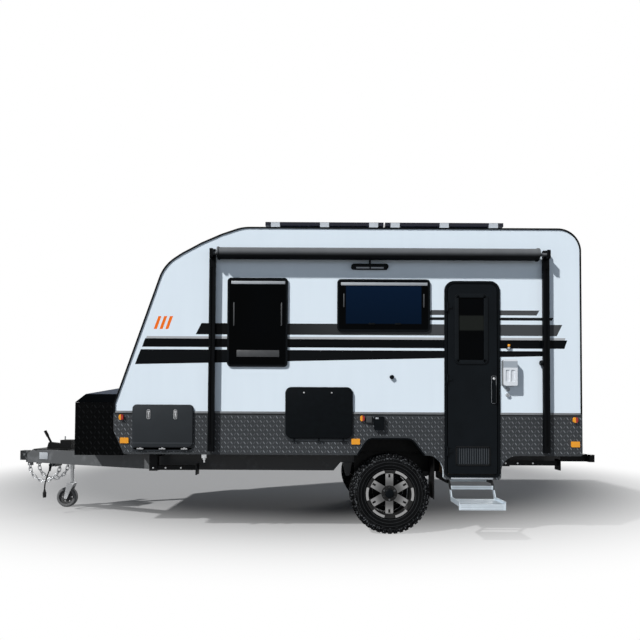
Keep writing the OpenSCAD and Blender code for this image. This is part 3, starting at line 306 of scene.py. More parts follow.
# Tow end: safety chains, jockey leg and its clamp dipped in zinc, which has set in crystals and dulled to a soft grey.
# The coupling is cast, painted black and rubbed to bare steel; the brake lever is black, like the mudguards.
# The jockey wheel is a dark disc in a worn grey tyre.
zinc, spot, shader = new_finish("zinc_dip", Base_Color=grey(0.5), Roughness=0.42, Metallic=0.85)
spangle = spot.node("TexVoronoi", {"Vector": spot, "Scale": 95.0}, "Color").along("X")
tarnish = spot.noise(12, 5)
feed(
    shader,
    Base_Color=(spangle * 0.5 + tarnish * 0.5).mix(grey(0.33, 0.02), grey(0.62, 0.02)),
    Roughness=0.32 + spangle * 0.2 + tarnish * 0.1,
    Normal=spangle.bump(0.08, 0.001),
)
wear(zinc, "safety_chains", "jockey_mount", "jockey_stem", "jockey_fork")
lever_black, spot, shader = new_finish("lever_black", Roughness=0.4, Specular_IOR_Level=0.06)
feed(
    shader,
    Base_Color=spot.noise(35, 5).mix(grey(0.004), grey(0.012)),
    Roughness=0.32 + spot.noise(80) * 0.2,
    Normal=spot.noise(700).bump(0.1, 0.0008),
)
wear(lever_black, "handbrake", "mudguards")
cast, spot, shader = new_finish("coupling_steel", Roughness=0.4, Specular_IOR_Level=0.2)
rubbed = spot.noise(24, 6).soften(0.5, 0.68)
feed(
    shader,
    Base_Color=rubbed.mix(grey(0.012, 0.08), grey(0.16, 0.04)),
    Metallic=rubbed * 0.7,
    Roughness=0.34 + spot.noise(60) * 0.2,
    Normal=spot.noise(240).bump(0.2, 0.001),
)
wear(cast, "tow_coupling")
jockey_rubber, spot, shader = new_finish("jockey_rubber", Roughness=0.7, Specular_IOR_Level=0.2)
worn = spot.noise(40, 6)


def round_hub(spot, hub):
    """Distances behind and above a wheel's hub, and the radius that they make."""
    behind, above = spot.along("X") - hub.x, spot.along("Z") - hub.z
    return behind, above, behind.math("SQRT", behind * behind + above * above)


tyre_part = round_hub(spot, van(-1140, 0, 122))[2].soften(0.084, 0.088)
feed(
    shader,
    Base_Color=tyre_part.mix(worn.mix(grey(0.03), grey(0.08)), worn.mix(grey(0.09), grey(0.15))),
    Roughness=0.55 + worn * 0.3,
    Normal=worn.bump(0.25, 0.002),
)
wear(jockey_rubber, "jockey_wheel")


# Front box and skirt: pressed tread plate, folded and riveted, then sprayed near black or, on the skirt, dark grey.
# Raised bars lie slantwise, each turned against its neighbours, with their tops painted paler: partly rubbed wear and
# partly a painted highlight, four times as strong on the bars turned one way.
# The box's lid is plain sheet, sprayed black, with a painted reflection of blue sky on its upward faces.
FLAT = 0.7  # a face looks along an axis when its normal has more than this of it
DIAGONAL = math.sqrt(0.5)


def tread_plate(name, dark, light, gloss, wide, tall):
    """Tread plate with one bar in each cell of so many millimetres."""
    plate, spot, shader = new_finish(name, Roughness=0.4, Specular_IOR_Level=gloss)
    facing = abs(spot.facing("X")) > FLAT
    level = facing * spot.along("Y") + (1.0 - facing) * spot.along("X")
    lying = abs(spot.facing("Z")) > FLAT
    height = lying * spot.along("Y") + (1.0 - lying) * spot.along("Z")
    across, up = level * (1000 / wide), height * (1000 / tall)
    column, row = across.math("FLOOR", across), up.math("FLOOR", up)
    falling = (column + row) % 2
    turn = 1.0 - falling * 2
    u, v = (across % 1) - 0.5, (up % 1) - 0.5
    lengthways, sideways = (u + v * turn) * DIAGONAL, (v - u * turn) * DIAGONAL
    bar = 1.0 - (lengthways * lengthways * 4.6 + sideways * sideways * 46).soften(0.5, 1.15)
    grime = spot.noise(4.5, 6)
    # Painted highlight and wear: the bar tops are painted paler, four times as strongly on the bars turned one way, as
    # if those caught the light.
    rubbed = bar * (0.25 + falling * 0.75) * (0.35 + grime * 0.9)
    ground = grime.mix(grey(dark * 0.8, 0.08), grey(dark * 1.25, 0.08))
    feed(
        shader,
        Base_Color=rubbed.mix(ground, grey(light, 0.06)),
        Roughness=0.5 - bar * 0.2 + grime * 0.12,
        Normal=bar.bump(1.0, 0.005),
    )
    return plate


wear(tread_plate("skirt_plate", 0.036, 0.22, 0.15, 31, 41), "tread_plates")
wear(tread_plate("box_plate", 0.0016, 0.012, 0.015, 40, 52), "front_box")
lid_paint_with_sky_reflection, spot, shader = new_finish("lid_paint_with_sky_reflection", Roughness=0.3, Specular_IOR_Level=0.015)
ripple = spot.noise(7, 3)
# Painted reflection: faces that look upward are painted blue, as the sky would show in them.
lying = spot.facing("Z") > FLAT
feed(
    shader,
    Base_Color=lying.mix(ripple.mix(grey(0.001, 0.3), grey(0.002, 0.3)), (0.016, 0.025, 0.042, 1)),
    Roughness=0.12 + ripple * 0.1,
    Normal=ripple.bump(0.06, 0.004),
)
wear(lid_paint_with_sky_reflection, "box_lid")


# Walls: bonded fibreglass sandwich panels with a glossy white gelcoat.
# Cut vinyl bands run along both sides: black, graphite and light grey, with slanted ends.
# The front, roof and rear stand in more light than the sides, so their white is mixed darker.
def gelcoat(name, pale):
    """Gelcoat faintly streaked from top to bottom, and its white, which is left to feed or to paint over."""
    coat, spot, shader = new_finish(name, Roughness=0.22, Specular_IOR_Level=0.04)
    streak = spot.stretched(6.0, 6.0, 0.7).noise(2.0, 2.0)
    dull = (0.79 * pale, 0.877 * pale, 0.941 * pale, 1)
    fresh = (0.85 * pale, 0.937 * pale, pale, 1)
    white = (streak * 0.6 + spot.noise(1.5) * 0.4).mix(dull, fresh)
    feed(shader, Roughness=0.17 + spot.noise(7) * 0.1, Normal=spot.noise(260, 2).bump(0.02, 0.001))
    return coat, spot, shader, white


shell, spot, shader, white = gelcoat("gelcoat", 0.69)
feed(shader, Base_Color=white)
wear(shell, "front_wall", "roof_panel", "rear_wall")
side, spot, shader, white = gelcoat("gelcoat_with_bands", 0.865)
behind, up = spot.behind_nose(), spot.along("Z") * 1000


def band(low, high, front, rear, slant, taper=0.0):
    """Mask of one band in millimetres: its lower edge rises by taper per millimetre, and both ends slant."""
    lower = up > (behind - front) * taper + low
    lean = (up - low) * slant
    return lower & (up < high) & (behind > lean + front) & (behind < lean + rear)


ORANGE = (0.85, 0.16, 0.012, 1)
graphite = behind.soften(900, 3300).mix(grey(0.004, 0.1), grey(0.062, 0.05))
bands = [
    (band(1925, 2034, 778, 4262, 0.5), graphite),
    (band(1884, 1906, 300, 4340, 0.3), grey(0.4, 0.02)),
    (band(1802, 1884, 262, 4335, 0.35), grey(0.0025, 0.3)),
    (band(1633, 1778, 196, 4120, 0.37, 0.0245), grey(0.004, 0.2)),
    (band(2124, 2172, 3020, 4068, 0.6), grey(0.07, 0.04)),
    (band(2074, 2102, 3020, 4216, 0.6), grey(0.012, 0.1)),
]
bands += [(band(1975, 2100, front, front + 30, 0.35), ORANGE) for front in (372, 428, 484)]
painted = white
for mask, colour in bands:
    painted = mask.mix(painted, colour)
feed(shader, Base_Color=painted)
wear(side, "side_wall_near", "side_wall_off")

# Edge mouldings and floor: black vinyl extrusion over the panel joints, and a ply floor.
# The extrusion is finely grained all over; the ply's grain runs along the caravan.
trim, spot, shader = new_finish("edge_vinyl", Roughness=0.42, Specular_IOR_Level=0.05)
feed(
    shader,
    Base_Color=spot.noise(18, 4).mix(grey(0.002, 0.2), grey(0.006, 0.2)),
    Roughness=0.36 + spot.noise(40) * 0.18,
    Normal=spot.noise(900).bump(0.12, 0.0008),
)
wear(trim, "edge_mouldings")
ply, spot, shader = new_finish("floor_ply", Base_Color=(0.3, 0.2, 0.11, 1), Roughness=0.7)
grain = spot.stretched(2.0, 40.0, 40.0).noise(3.0, 6.0)
feed(
    shader,
    Base_Color=grain.mix((0.2, 0.13, 0.07, 1), (0.36, 0.25, 0.15, 1)),
    Roughness=0.6 + grain * 0.25,
    Normal=grain.bump(0.2, 0.001),
)
wear(ply, "floor_panel")


# Windows: dark acrylic panes in black moulded frames, each with a pale blind rail along its top and two thin stays.
# The tall one has a rail at its foot and the wide ones close on two catches; the one before the door has a painted blue
# sky reflection, paler towards its top.
def moulded(name, low, high, gloss=0.05, tint=0.05):
    """Finely grained plastic, mottled between two greys."""
    plastic, spot, shader = new_finish(name, Roughness=0.4, Specular_IOR_Level=gloss)
    feed(
        shader,
        Base_Color=spot.noise(22, 4).mix(grey(low, tint), grey(high, tint)),
        Roughness=0.33 + spot.noise(35) * 0.2,
        Normal=spot.noise(1100).bump(0.1, 0.0006),
    )
    return plastic


SMOOTH = math.radians(40)  # edges that bend less than this are shaded smooth


def block(name, low, high, edge, rounds=2):
    """A cube drawn out to two corners, with its edges rounded by some millimetres."""
    alone()
    middle = (low + high) / 2
    bpy.ops.mesh.primitive_cube_add(size=1, location=middle)
    piece = bpy.context.object
    piece.name = name
    bpy.ops.object.mode_set(mode="EDIT")
    bpy.ops.transform.resize(value=high - low, center_override=middle)
    bpy.ops.mesh.bevel(offset=edge / 1000, segments=rounds, affect="EDGES")
    bpy.ops.object.mode_set(mode="OBJECT")
    bpy.ops.object.transform_apply(location=True, rotation=True, scale=True)
    bpy.ops.object.shade_smooth_by_angle(angle=SMOOTH)
    return piece


def fitted(piece, material, body):
    """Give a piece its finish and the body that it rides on."""
    piece.data.materials.clear()
    piece.data.materials.append(material)
    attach(piece, body)
    return piece


def on_wall(name, out, x, z, depth, edge, rounds=2):
    """A rounded block on one wall, between two places along it, two heights and two distances off the centreline."""
    y = sorted(out * distance for distance in depth)
    return block(name, van(x[0], y[0], z[0]), van(x[1], y[1], z[1]), edge, rounds)


def joined(pieces):
    """Pieces made into one, which keeps the first one's name."""
    alone()
    for piece in pieces:
        piece.select_set(True)
    bpy.context.view_layer.objects.active = pieces[0]
    bpy.ops.object.join()
    return pieces[0]


black = moulded("moulded_black", 0.0016, 0.005, tint=0.3)
wear(black, "window_frames", "wall_fittings")
tinted, spot, shader = new_finish("tinted_acrylic", Roughness=0.06, Specular_IOR_Level=0.02)
behind, up = spot.behind_nose(), spot.along("Z") * 1000
# Painted reflection: the pane before the door is painted blue as the sky would show in it, paler towards its top.
in_sky_reflection = behind.soften(2222, 2230) & (1.0 - behind.soften(2949, 2957))
in_sky_reflection = in_sky_reflection & up.soften(2030, 2038) & (1.0 - up.soften(2400, 2408))
in_blind = behind.between(3200, 3700) & up.soften(1965, 1985) & (1.0 - up.soften(2110, 2125))
smoky = spot.noise(1.6, 2).mix(grey(0.0004), grey(0.0016, 0.4))
with_blind = in_blind.mix(smoky, (0.012, 0.0135, 0.012, 1))
blue = spot.along("Z").soften(1.9, 2.5).mix((0.001, 0.006, 0.017, 1), (0.002, 0.009, 0.026, 1))
feed(shader, Base_Color=in_sky_reflection.mix(with_blind, blue), Roughness=0.04 + spot.noise(5) * 0.05)
wear(tinted, "window_panes", "door_pane")
pale = moulded("blind_rail_grey", 0.3, 0.4, 0.3)
smoke = moulded("stay_grey", 0.03, 0.06, 0.3)
PANE = 1113  # the panes' outer face, off the centreline
for tag, out, x, z, wide, tall in (
    ("front_near", -1, 1084, 1613, 582, 860),
    ("rear_near", -1, 2142, 1960, 895, 505),
    ("front_off", 1, 1084, 1960, 895, 505),
    ("rear_off", 1, 3100, 1960, 895, 505),
):
    head = z + tall
    rail = on_wall(f"blind_rail_{tag}", out, (x + 36, x + wide - 26), (head - 62, head - 32), (PANE, PANE + 7), 3)
    fitted(rail, pale, "caravan")
    stays = [
        on_wall(f"window_stays_{tag}", out, (at, at + 12), (z + tall * 0.46, z + tall * 0.72), (PANE, PANE + 6), 3)
        for at in (x + 58, x + wide - 66)
    ]
    if tall > 600:
        stays.append(on_wall("foot_rail", out, (x + 92, x + wide - 80), (z + 95, z + 160), (PANE, PANE + 4), 3))
    else:
        catches = [
            on_wall(f"window_catches_{tag}", out, (at, at + 60), (z + 62, z + 80), (PANE, PANE + 9), 4)
            for at in (x + wide * 0.34, x + wide * 0.62)
        ]
        fitted(joined(catches), black, "caravan")
    fitted(joined(stays), smoke, "caravan")

# Belt and arch trims: an alloy strip along the top of the tread plate, painted black along its lower edge,
# and black beading clipped over the edge of each wheel arch. The strip is screwed on in lengths that stop at the doors.
belt, spot, shader = new_finish("belt_alloy", Roughness=0.35, Specular_IOR_Level=0.2)
# The strip is painted black below 1.163 m.
dark_lower_edge = 1.0 - spot.along("Z").soften(1.163, 1.165)
feed(
    shader,
    Base_Color=dark_lower_edge.mix(spot.noise(30).mix(grey(0.14, 0.04), grey(0.2, 0.04)), grey(0.004, 0.2)),
    Roughness=0.3 + spot.noise(50) * 0.15,
    Normal=spot.noise(500).bump(0.08, 0.0006),
)
NEAR_SPANS = ((16, 180), (769, 1645), (2299, 3174), (3714, 4484))
OFF_SPANS = ((16, 180), (769, 4484))
ARCH = [(2341, 770), (2414, 886), (2430, 904), (2450, 919), (2471, 927), (2494, 930)]
ARCH += [(2816, 930), (2837, 928), (2858, 920), (2877, 908), (2892, 893), (2985, 770)]


def drawn_line(name, points):
    """A new piece in edit mode: a run of edges through these points, all selected."""
    alone()
    bpy.ops.mesh.primitive_plane_add(size=0.001, location=(0, 0, 0))
    piece = bpy.context.object
    piece.name = name
    bpy.ops.object.mode_set(mode="EDIT")
    bpy.ops.mesh.merge(type="CENTER")
    bpy.ops.transform.translate(value=points[0])
    for before, after in zip(points, points[1:]):
        bpy.ops.mesh.extrude_vertices_move(TRANSFORM_OT_translate={"value": after - before})
    bpy.ops.mesh.select_all(action="SELECT")
    return piece


def beading(name, path, depth, thick):
    """A strip bent along places in the wall's plane, with two distances off the centreline and a thickness."""
    piece = drawn_line(name, [van(x, depth[0], z) for x, z in path])
    bpy.ops.mesh.extrude_region_move(TRANSFORM_OT_translate={"value": (0, (depth[1] - depth[0]) / 1000, 0)})
    bpy.ops.mesh.select_all(action="SELECT")
    bpy.ops.mesh.normals_make_consistent(inside=False)
    bpy.ops.object.mode_set(mode="OBJECT")
    wall = piece.modifiers.new("thickness", "SOLIDIFY")
    wall.thickness, wall.offset = thick / 1000, 0
    edges = piece.modifiers.new("edges", "BEVEL")
    edges.width, edges.segments = 0.003, 2
    bpy.ops.object.modifier_apply(modifier="thickness")
    bpy.ops.object.modifier_apply(modifier="edges")
    bpy.ops.object.shade_smooth_by_angle(angle=SMOOTH)
    return piece


for side_name, out, spans in (("near", -1, NEAR_SPANS), ("off", 1, OFF_SPANS)):
    lengths = [on_wall(f"belt_trim_{side_name}", out, span, (1153, 1184), (1098, 1107), 2) for span in spans]
    fitted(joined(lengths), belt, "caravan")
    arch = beading(f"arch_beading_{side_name}", ARCH, (out * 1098, out * 1113), 14)
    fitted(arch, black, "caravan")


# Boot doors and the folding table: skinned foam panels in flanged frames, hinged along the foot.
# The boot doors are sprayed graphite and close on two long slam locks; the black table has two small round catches.
def turned(name, section, centre, axis, steps=32):
    """A piece off the lathe: its half section, as (radius, height) pairs in millimetres, spun about the axis."""
    axis = Vector(axis)
    out = Vector((0, 0, 1)) if abs(axis.z) < 0.5 else Vector((1, 0, 0))
    points = [centre + out * (radius / 1000) + axis * (height / 1000) for radius, height in section]
    piece = drawn_line(name, points)
    bpy.ops.mesh.spin(steps=steps, angle=2 * math.pi, center=centre, axis=axis)
    bpy.ops.mesh.select_all(action="SELECT")
    bpy.ops.mesh.remove_doubles(threshold=0.00002)
    bpy.ops.mesh.normals_make_consistent(inside=False)
    bpy.ops.object.mode_set(mode="OBJECT")
    bpy.ops.object.shade_smooth_by_angle(angle=math.radians(35))
    return piece


def sheet(name, low, high, corner, edge, hole=0):
    """A sheet between two corners of a box, with round corners and soft edges; a hole leaves a rim of that width."""
    alone()
    middle = Vector(((low.x + high.x) / 2, high.y, (low.z + high.z) / 2))
    bpy.ops.mesh.primitive_plane_add(size=1, location=middle, rotation=(math.pi / 2, 0, 0))
    piece = bpy.context.object
    piece.name = name
    bpy.ops.object.transform_apply(location=True, rotation=True, scale=True)
    bpy.ops.object.mode_set(mode="EDIT")
    bpy.ops.transform.resize(value=(high.x - low.x, 1, high.z - low.z), center_override=middle)
    bpy.ops.mesh.bevel(offset=corner / 1000, segments=8, affect="VERTICES")
    if hole:
        bpy.ops.mesh.inset(thickness=hole / 1000)
        bpy.ops.mesh.delete(type="FACE")
        bpy.ops.mesh.select_all(action="SELECT")
    bpy.ops.mesh.extrude_region_move(TRANSFORM_OT_translate={"value": (0, low.y - high.y, 0)})
    bpy.ops.mesh.select_all(action="SELECT")
    bpy.ops.mesh.normals_make_consistent(inside=False)
    bpy.ops.mesh.bevel(offset=edge / 1000, segments=3, affect="EDGES")
    bpy.ops.object.mode_set(mode="OBJECT")
    bpy.ops.object.shade_smooth_by_angle(angle=SMOOTH)
    return piece


def sheet_on_wall(name, out, x, z, depth, corner, edge, hole=0):
    """A sheet placed as on_wall places a block."""
    y = sorted(out * distance for distance in depth)
    return sheet(name, van(x[0], y[0], z[0]), van(x[1], y[1], z[1]), corner, edge, hole)


graphite_skin, spot, shader = new_finish("graphite_skin", Roughness=0.4, Specular_IOR_Level=0.14)
outside = spot.off_centre() > 1.1135
hinges = outside & (spot.along("Z") < 0.835)
# Painted highlight: a thin paler line along the boot doors' crease, where the fold would catch the light.
crease_highlight = spot.along("Z").between(0.874, 0.88) & outside
sprayed = crease_highlight.mix(spot.noise(8, 5).mix(grey(0.018, 0.14), grey(0.026, 0.14)), grey(0.06, 0.1))
feed(
    shader,
    Base_Color=hinges.mix(sprayed, grey(0.3)),
    Roughness=0.36 + spot.noise(25) * 0.15,
    Normal=spot.noise(420).bump(0.14, 0.001),
)
wear(graphite_skin, "hatch_frames", "boot_door_near", "boot_door_off")
wear(black, "table_leaf")
SKIN = (1111, 1123)  # a door skin's two faces, off the centreline
BARREL = [(0, 4), (3, 4), (4, 3), (6, 5), (9, 5), (10, 3), (10, -2)]
for side_name, out, body in (("near", -1, "boot_lid_near"), ("off", 1, "boot_lid_off")):
    skin = sheet_on_wall(f"boot_skin_{side_name}", out, (184, 765), (838, 1243), SKIN, 46, 5)
    fitted(skin, graphite_skin, body)
    sill = sheet_on_wall(f"boot_sill_{side_name}", out, (184, 765), (798, 834), (1103, 1110), 16, 2)
    fitted(sill, graphite_skin, "caravan")
    for number, x in enumerate((341, 598)):
        lock_name = f"boot_lock_{side_name}_{number}"
        rim = sheet_on_wall(lock_name, out, (x - 16, x + 16), (1106, 1196), (1121, 1126), 10, 1, 4)
        barrel = turned("barrel", BARREL, van(x, out * 1123, 1176), (0, out, 0))
        grip = on_wall("grip", out, (x - 4, x + 4), (1118, 1166), (1122, 1127), 2)
        fitted(joined([rim, barrel, grip]), zinc, body)
table_skin = sheet_on_wall("table_skin", -1, (1651, 2293), (930, 1417), SKIN, 60, 5)
fitted(table_skin, black, "table")
PULL = [(0, 5), (5, 5), (7, 3), (8, 0), (8, -2)]
for number, x in enumerate((1827, 2093)):
    pull = turned(f"table_catch_{number}", PULL, van(x, -1124, 1366), (0, -1, 0))
    fitted(pull, zinc, "table")

# Entry door: a folded black aluminium leaf with a tall pane, a louvre near its foot and a slim pull.
# Its frame is a black extrusion screwed round the opening, over a bright sill; a moulded surround holds the pane.
LOUVRE_X, LOUVRE_W, SLATS = 3296, 303, 14
door_skin, spot, shader = new_finish("door_skin", Roughness=0.34, Specular_IOR_Level=0.05)
behind, up = spot.behind_nose(), spot.along("Z") * 1000
in_louvre = behind.between(LOUVRE_X, LOUVRE_X + LOUVRE_W) & up.between(690, 846)
slats = in_louvre & (((behind - LOUVRE_X) * (SLATS / LOUVRE_W) + 0.25) % 1 < 0.5)
feed(
    shader,
    Base_Color=slats.mix(spot.noise(5, 5).mix(grey(0.004, 0.25), grey(0.008, 0.25)), grey(0.05, 0.1)),
    Roughness=0.3 + spot.noise(18) * 0.14,
    Normal=spot.noise(380).bump(0.12, 0.001),
)
wear(door_skin, "entry_door")
wear(black, "door_frame", "door_handle")
rim_black = moulded("surround_black", 0.003, 0.007, 0.08, 0.3)
pane_rim = sheet("door_pane_surround", van(3272, -1121, 1648), van(3594, -1110, 2330), 44, 3, 40)
fitted(pane_rim, rim_black, "door")
lip_grey = moulded("louvre_grey", 0.006, 0.011, 0.08)
lip = sheet("louvre_surround", van(3282, -1119, 676), van(3613, -1111, 860), 14, 2, 12)
fitted(lip, lip_grey, "door")
sill = on_wall("door_sill", -1, (3240, 3640), (543, 560), (1102, 1113), 3)
fitted(sill, pale, "caravan")
bezel = sheet("handle_bezel", van(3624, -1121, 1270), van(3672, -1115, 1538), 15, 1, 4)
fitted(bezel, moulded("bezel_grey", 0.1, 0.16, 0.2), "door")
LOCK = [(0, 8), (6, 8), (8, 6), (12, 6), (13, 4), (13, 0), (13, -3)]
fitted(turned("door_lock", LOCK, van(3648, -1118, 1510), (0, -1, 0)), zinc, "door")

# Awning: dark canvas rolled on a tube, its upper part painted grey as painted light and its lower part near black as
# painted shade, on two folded arms clamped to the wall.
# The arms are anodised black, with fine die lines along them, and the rear one has a knob that locks it.
anodised, spot, shader = new_finish("black_anodised", Roughness=0.36, Specular_IOR_Level=0.04)
drawn = spot.stretched(60.0, 60.0, 0.6).noise(8.0, 2.0)
feed(
    shader,
    Base_Color=drawn.mix(grey(0.001, 0.2), grey(0.004, 0.2)),
    Roughness=0.28 + drawn * 0.18,
    Normal=drawn.bump(0.05, 0.001),
)
wear(anodised, "awning_arms")
canvas, spot, shader = new_finish("rolled_canvas", Roughness=0.5, Specular_IOR_Level=0.05)
# Painted light and shade: the roll's upper part is painted grey where light falls on it, and the lower part near black.
strip = spot.along("Z").soften(2.652, 2.7)
weave = ((spot.along("X") * 900).wave() + (spot.along("Z") * 900).wave()) * 0.5
cloth = weave.mix(grey(0.002, 0.2), grey(0.005, 0.2))
feed(
    shader,
    Base_Color=strip.mix(cloth, spot.noise(6).mix(grey(0.1, 0.04), grey(0.14, 0.04))),
    Roughness=0.42 + spot.noise(20) * 0.2,
    Normal=weave.bump(0.2, 0.0006),
)
wear(canvas, "awning_roller")
KNOB = [(0, 34), (12, 34), (20, 30), (26, 20), (25, 10), (18, 4), (10, 2), (10, -4)]
knob = turned("awning_knob", KNOB, van(4116, -1131, 1662), (-1, 0, 0))
fitted(knob, black, "caravan")


# Lamps: red and amber acrylic lenses with moulded prisms, screwed to the walls over rubber gaskets.
# The side markers are amber in front and red behind; the tail lamps are amber, red and clear from the top.
def lens_of(name):
    """A lens, and a signal that follows its prisms for the colour."""
    acrylic, spot, shader = new_finish(name, Roughness=0.12, Specular_IOR_Level=0.35)
    ribs = (spot.along("Z") * 160).wave()
    feed(shader, Roughness=0.1 + spot.noise(30) * 0.1, Normal=ribs.bump(0.35, 0.002))
    return acrylic, spot, shader, ribs * 0.7 + spot.noise(40) * 0.3


AMBER = ((0.62, 0.2, 0.004, 1), (0.95, 0.42, 0.02, 1))
RED = ((0.16, 0.006, 0.004, 1), (0.5, 0.03, 0.015, 1))
amber_lens, spot, shader, prisms = lens_of("amber_lens")
feed(shader, Base_Color=prisms.mix(*AMBER))
wear(amber_lens, "reflectors")
marker_lens, spot, shader, prisms = lens_of("marker_lens")
behind = spot.behind_nose()
rear_half = behind.between(77, 200) | behind.between(2387, 2500) | (behind > 4429)
feed(shader, Base_Color=rear_half.mix(prisms.mix(*AMBER), prisms.mix(*RED)))
wear(marker_lens, "marker_lamps")
tail_lens, spot, shader, prisms = lens_of("tail_lens")
flasher, reverse = spot.along("Z") > 1.055, spot.along("Z") < 0.945
feed(shader, Base_Color=reverse.mix(flasher.mix(prisms.mix(*RED), prisms.mix(*AMBER)), grey(0.55)))
wear(tail_lens, "tail_lamps")

# Roof gear: moulded roof unit with grilles at its ends, ribbed hatch lids on white bases, and grey panel brackets.
# All of it is weathered plastic, bonded to the roof.
wear(moulded("white_plastic", 0.6, 0.7, 0.3), "hatch_bases")
wear(moulded("bracket_grey", 0.42, 0.55, 0.2), "solar_brackets")
cowl, spot, shader = new_finish("roof_unit_cowl", Roughness=0.4, Specular_IOR_Level=0.2)
slats = (spot.along("Z") * 55).wave()
grille = abs(spot.facing("X")).soften(0.3, 0.4) & spot.along("Z").between(3.03, 3.13) & (spot.off_centre() < 0.24)
weathered = spot.noise(9).mix(grey(0.52, 0.02), grey(0.6, 0.02))
feed(
    shader,
    Base_Color=(grille * slats.soften(0.35, 0.6)).mix(weathered, grey(0.02)),
    Roughness=0.36 + spot.noise(30) * 0.15,
    Normal=(grille * slats).bump(0.6, 0.006),
)
wear(cowl, "air_conditioner")
dome_lid, spot, shader = new_finish("hatch_dome", Roughness=0.3, Specular_IOR_Level=0.25)
ribs = (spot.along("Y") * 14).wave()
upper = spot.facing("Z") > FLAT
feed(
    shader,
    Base_Color=spot.noise(8).mix(grey(0.5, 0.03), grey(0.6, 0.03)),
    Roughness=0.26 + spot.noise(30) * 0.14,
    Normal=(ribs.soften(0.2, 0.6) * upper).bump(0.5, 0.006),
)
wear(dome_lid, "hatch_lid_front", "hatch_lid_rear")

# Fittings on the door side: a white socket box with a recessed face painted darker as painted shade, lamp lens and feed
# cover, vent, and filler caps.
# They are small mouldings screwed on; the drain tap below the floor is zinc plated, on its own bracket.
socket_box, spot, shader = new_finish("socket_box", Roughness=0.35, Specular_IOR_Level=0.15)
# Painted shade: the box is painted darker in its recess, nearer the wall.
recess_shade = 1.0 - spot.off_centre().soften(1.13, 1.163)
flap = spot.along("Z").between(1.612, 1.674)
box_white = spot.noise(18).mix(grey(0.64, 0.04), grey(0.72, 0.04))
feed(
    shader,
    Base_Color=recess_shade.mix(flap.mix(box_white, grey(0.36, 0.1)), grey(0.14, 0.06)),
    Roughness=0.3 + spot.noise(40) * 0.15,
    Normal=spot.noise(900).bump(0.08, 0.0006),
)
wear(socket_box, "outlet_box")
annexe_lens = on_wall("annexe_lens", -1, (2322, 2586), (2563, 2577), (1133, 1138), 2)
fitted(annexe_lens, pale, "caravan")
feed_cover = on_wall("lamp_feed_cover", -1, (2448, 2464), (2608, 2650), (1099, 1116), 3)
feed_clip = on_wall("feed_clip", -1, (2449, 2463), (2557, 2612), (1135, 1140), 2)
fitted(joined([feed_cover, feed_clip]), black, "caravan")
vent = sheet("vent_cover", van(2424, -1123, 1082), van(2478, -1118, 1148), 6, 1)
fitted(vent, smoke, "caravan")
flap_catch = on_wall("inlet_catch", -1, (2512, 2542), (1116, 1132), (1132, 1137), 2)
fitted(flap_catch, pale, "caravan")
DRAIN = [(0, -38), (7, -38), (9, -34), (9, -14), (14, -12), (14, 0), (16, 2), (16, 10)]
tap = turned("drain_tap", DRAIN, van(870, -1082, 728), (0, 0, 1))
bracket = block("tap_bracket", van(846, -1096, 732), van(894, -1068, 771), 3)
fitted(joined([tap, bracket]), zinc, "caravan")
DOME = [(0, 5), (6, 4.5), (11, 3), (14, 0), (14, -2)]
fitted(turned("porch_lens", DOME, van(3796, -1114, 1830), (0, -1, 0)), amber_lens, "caravan")
fitted(turned("porch_sensor", DOME, van(3796, -1114, 1802), (0, -1, 0), 16), pale, "caravan")
FILLER = [(0, 4), (8, 4), (9, 2), (12, 2), (13, 5), (17, 5), (19, 3), (19, -13)]
for number, z in enumerate((1408, 1354)):
    filler = turned(f"filler_cap_{number}", FILLER, van(3784, -1114, z), (0, -1, 0))
    fitted(filler, pale, "caravan")

# Solar panels: dark cells behind glass in a black frame, carried on grey brackets bonded to the roof.
# Thin silver lines divide the cells.
CELLS_PER_METRE = 12.5
cells, spot, shader = new_finish("solar_glass", Roughness=0.1, Specular_IOR_Level=0.25)
across, deep = (spot.along("X") * CELLS_PER_METRE) % 1, (spot.along("Y") * CELLS_PER_METRE) % 1
lines = (across < 0.035) | (deep < 0.035)
silicon = spot.noise(25).mix((0.004, 0.005, 0.01, 1), (0.007, 0.009, 0.02, 1))
feed(
    shader,
    Base_Color=(lines * (spot.facing("Z") > FLAT)).mix(silicon, grey(0.25)),
    Roughness=0.08 + lines * 0.25,
)
wear(cells, "solar_panels")


# Road wheels: all-terrain tyres with blocky shoulders on cast alloy wheels.
# The spokes are machined bright in front and left black in the pockets, with six nuts and a cap.
# Behind each wheel a black splash guard stands off the rail on two feet.
def copied_round(piece, count, centre):
    """So many copies of a piece's mesh, evenly spaced round an axle."""
    sweep = 2 * math.pi * (count - 1) / count
    bpy.ops.object.mode_set(mode="EDIT")
    bpy.ops.mesh.select_all(action="SELECT")
    bpy.ops.mesh.spin(steps=count - 1, dupli=True, angle=sweep, center=centre, axis=(0, 1, 0))
    bpy.ops.object.mode_set(mode="OBJECT")
    return piece


def swung(piece, angle, axis, centre):
    """Turn a piece's mesh about an axis through a point."""
    bpy.ops.object.mode_set(mode="EDIT")
    bpy.ops.mesh.select_all(action="SELECT")
    bpy.ops.transform.rotate(value=angle, orient_axis=axis, center_override=centre)
    bpy.ops.object.mode_set(mode="OBJECT")
    return piece


HUB_X, HUB_OUT, HUB_Z = 2665, 925, 388
SIDEWALL = [(221, -92), (224, -95), (236, -104), (246, -109), (262, -112.5)]
SIDEWALL += [(300, -116.5), (330, -115), (352, -109), (368, -101)]
CROWN = [(376, -88), (377, -50), (377, 50), (376, 88)]
TYRE = SIDEWALL + CROWN + [(r, -y) for r, y in reversed(SIDEWALL)] + SIDEWALL[:1]
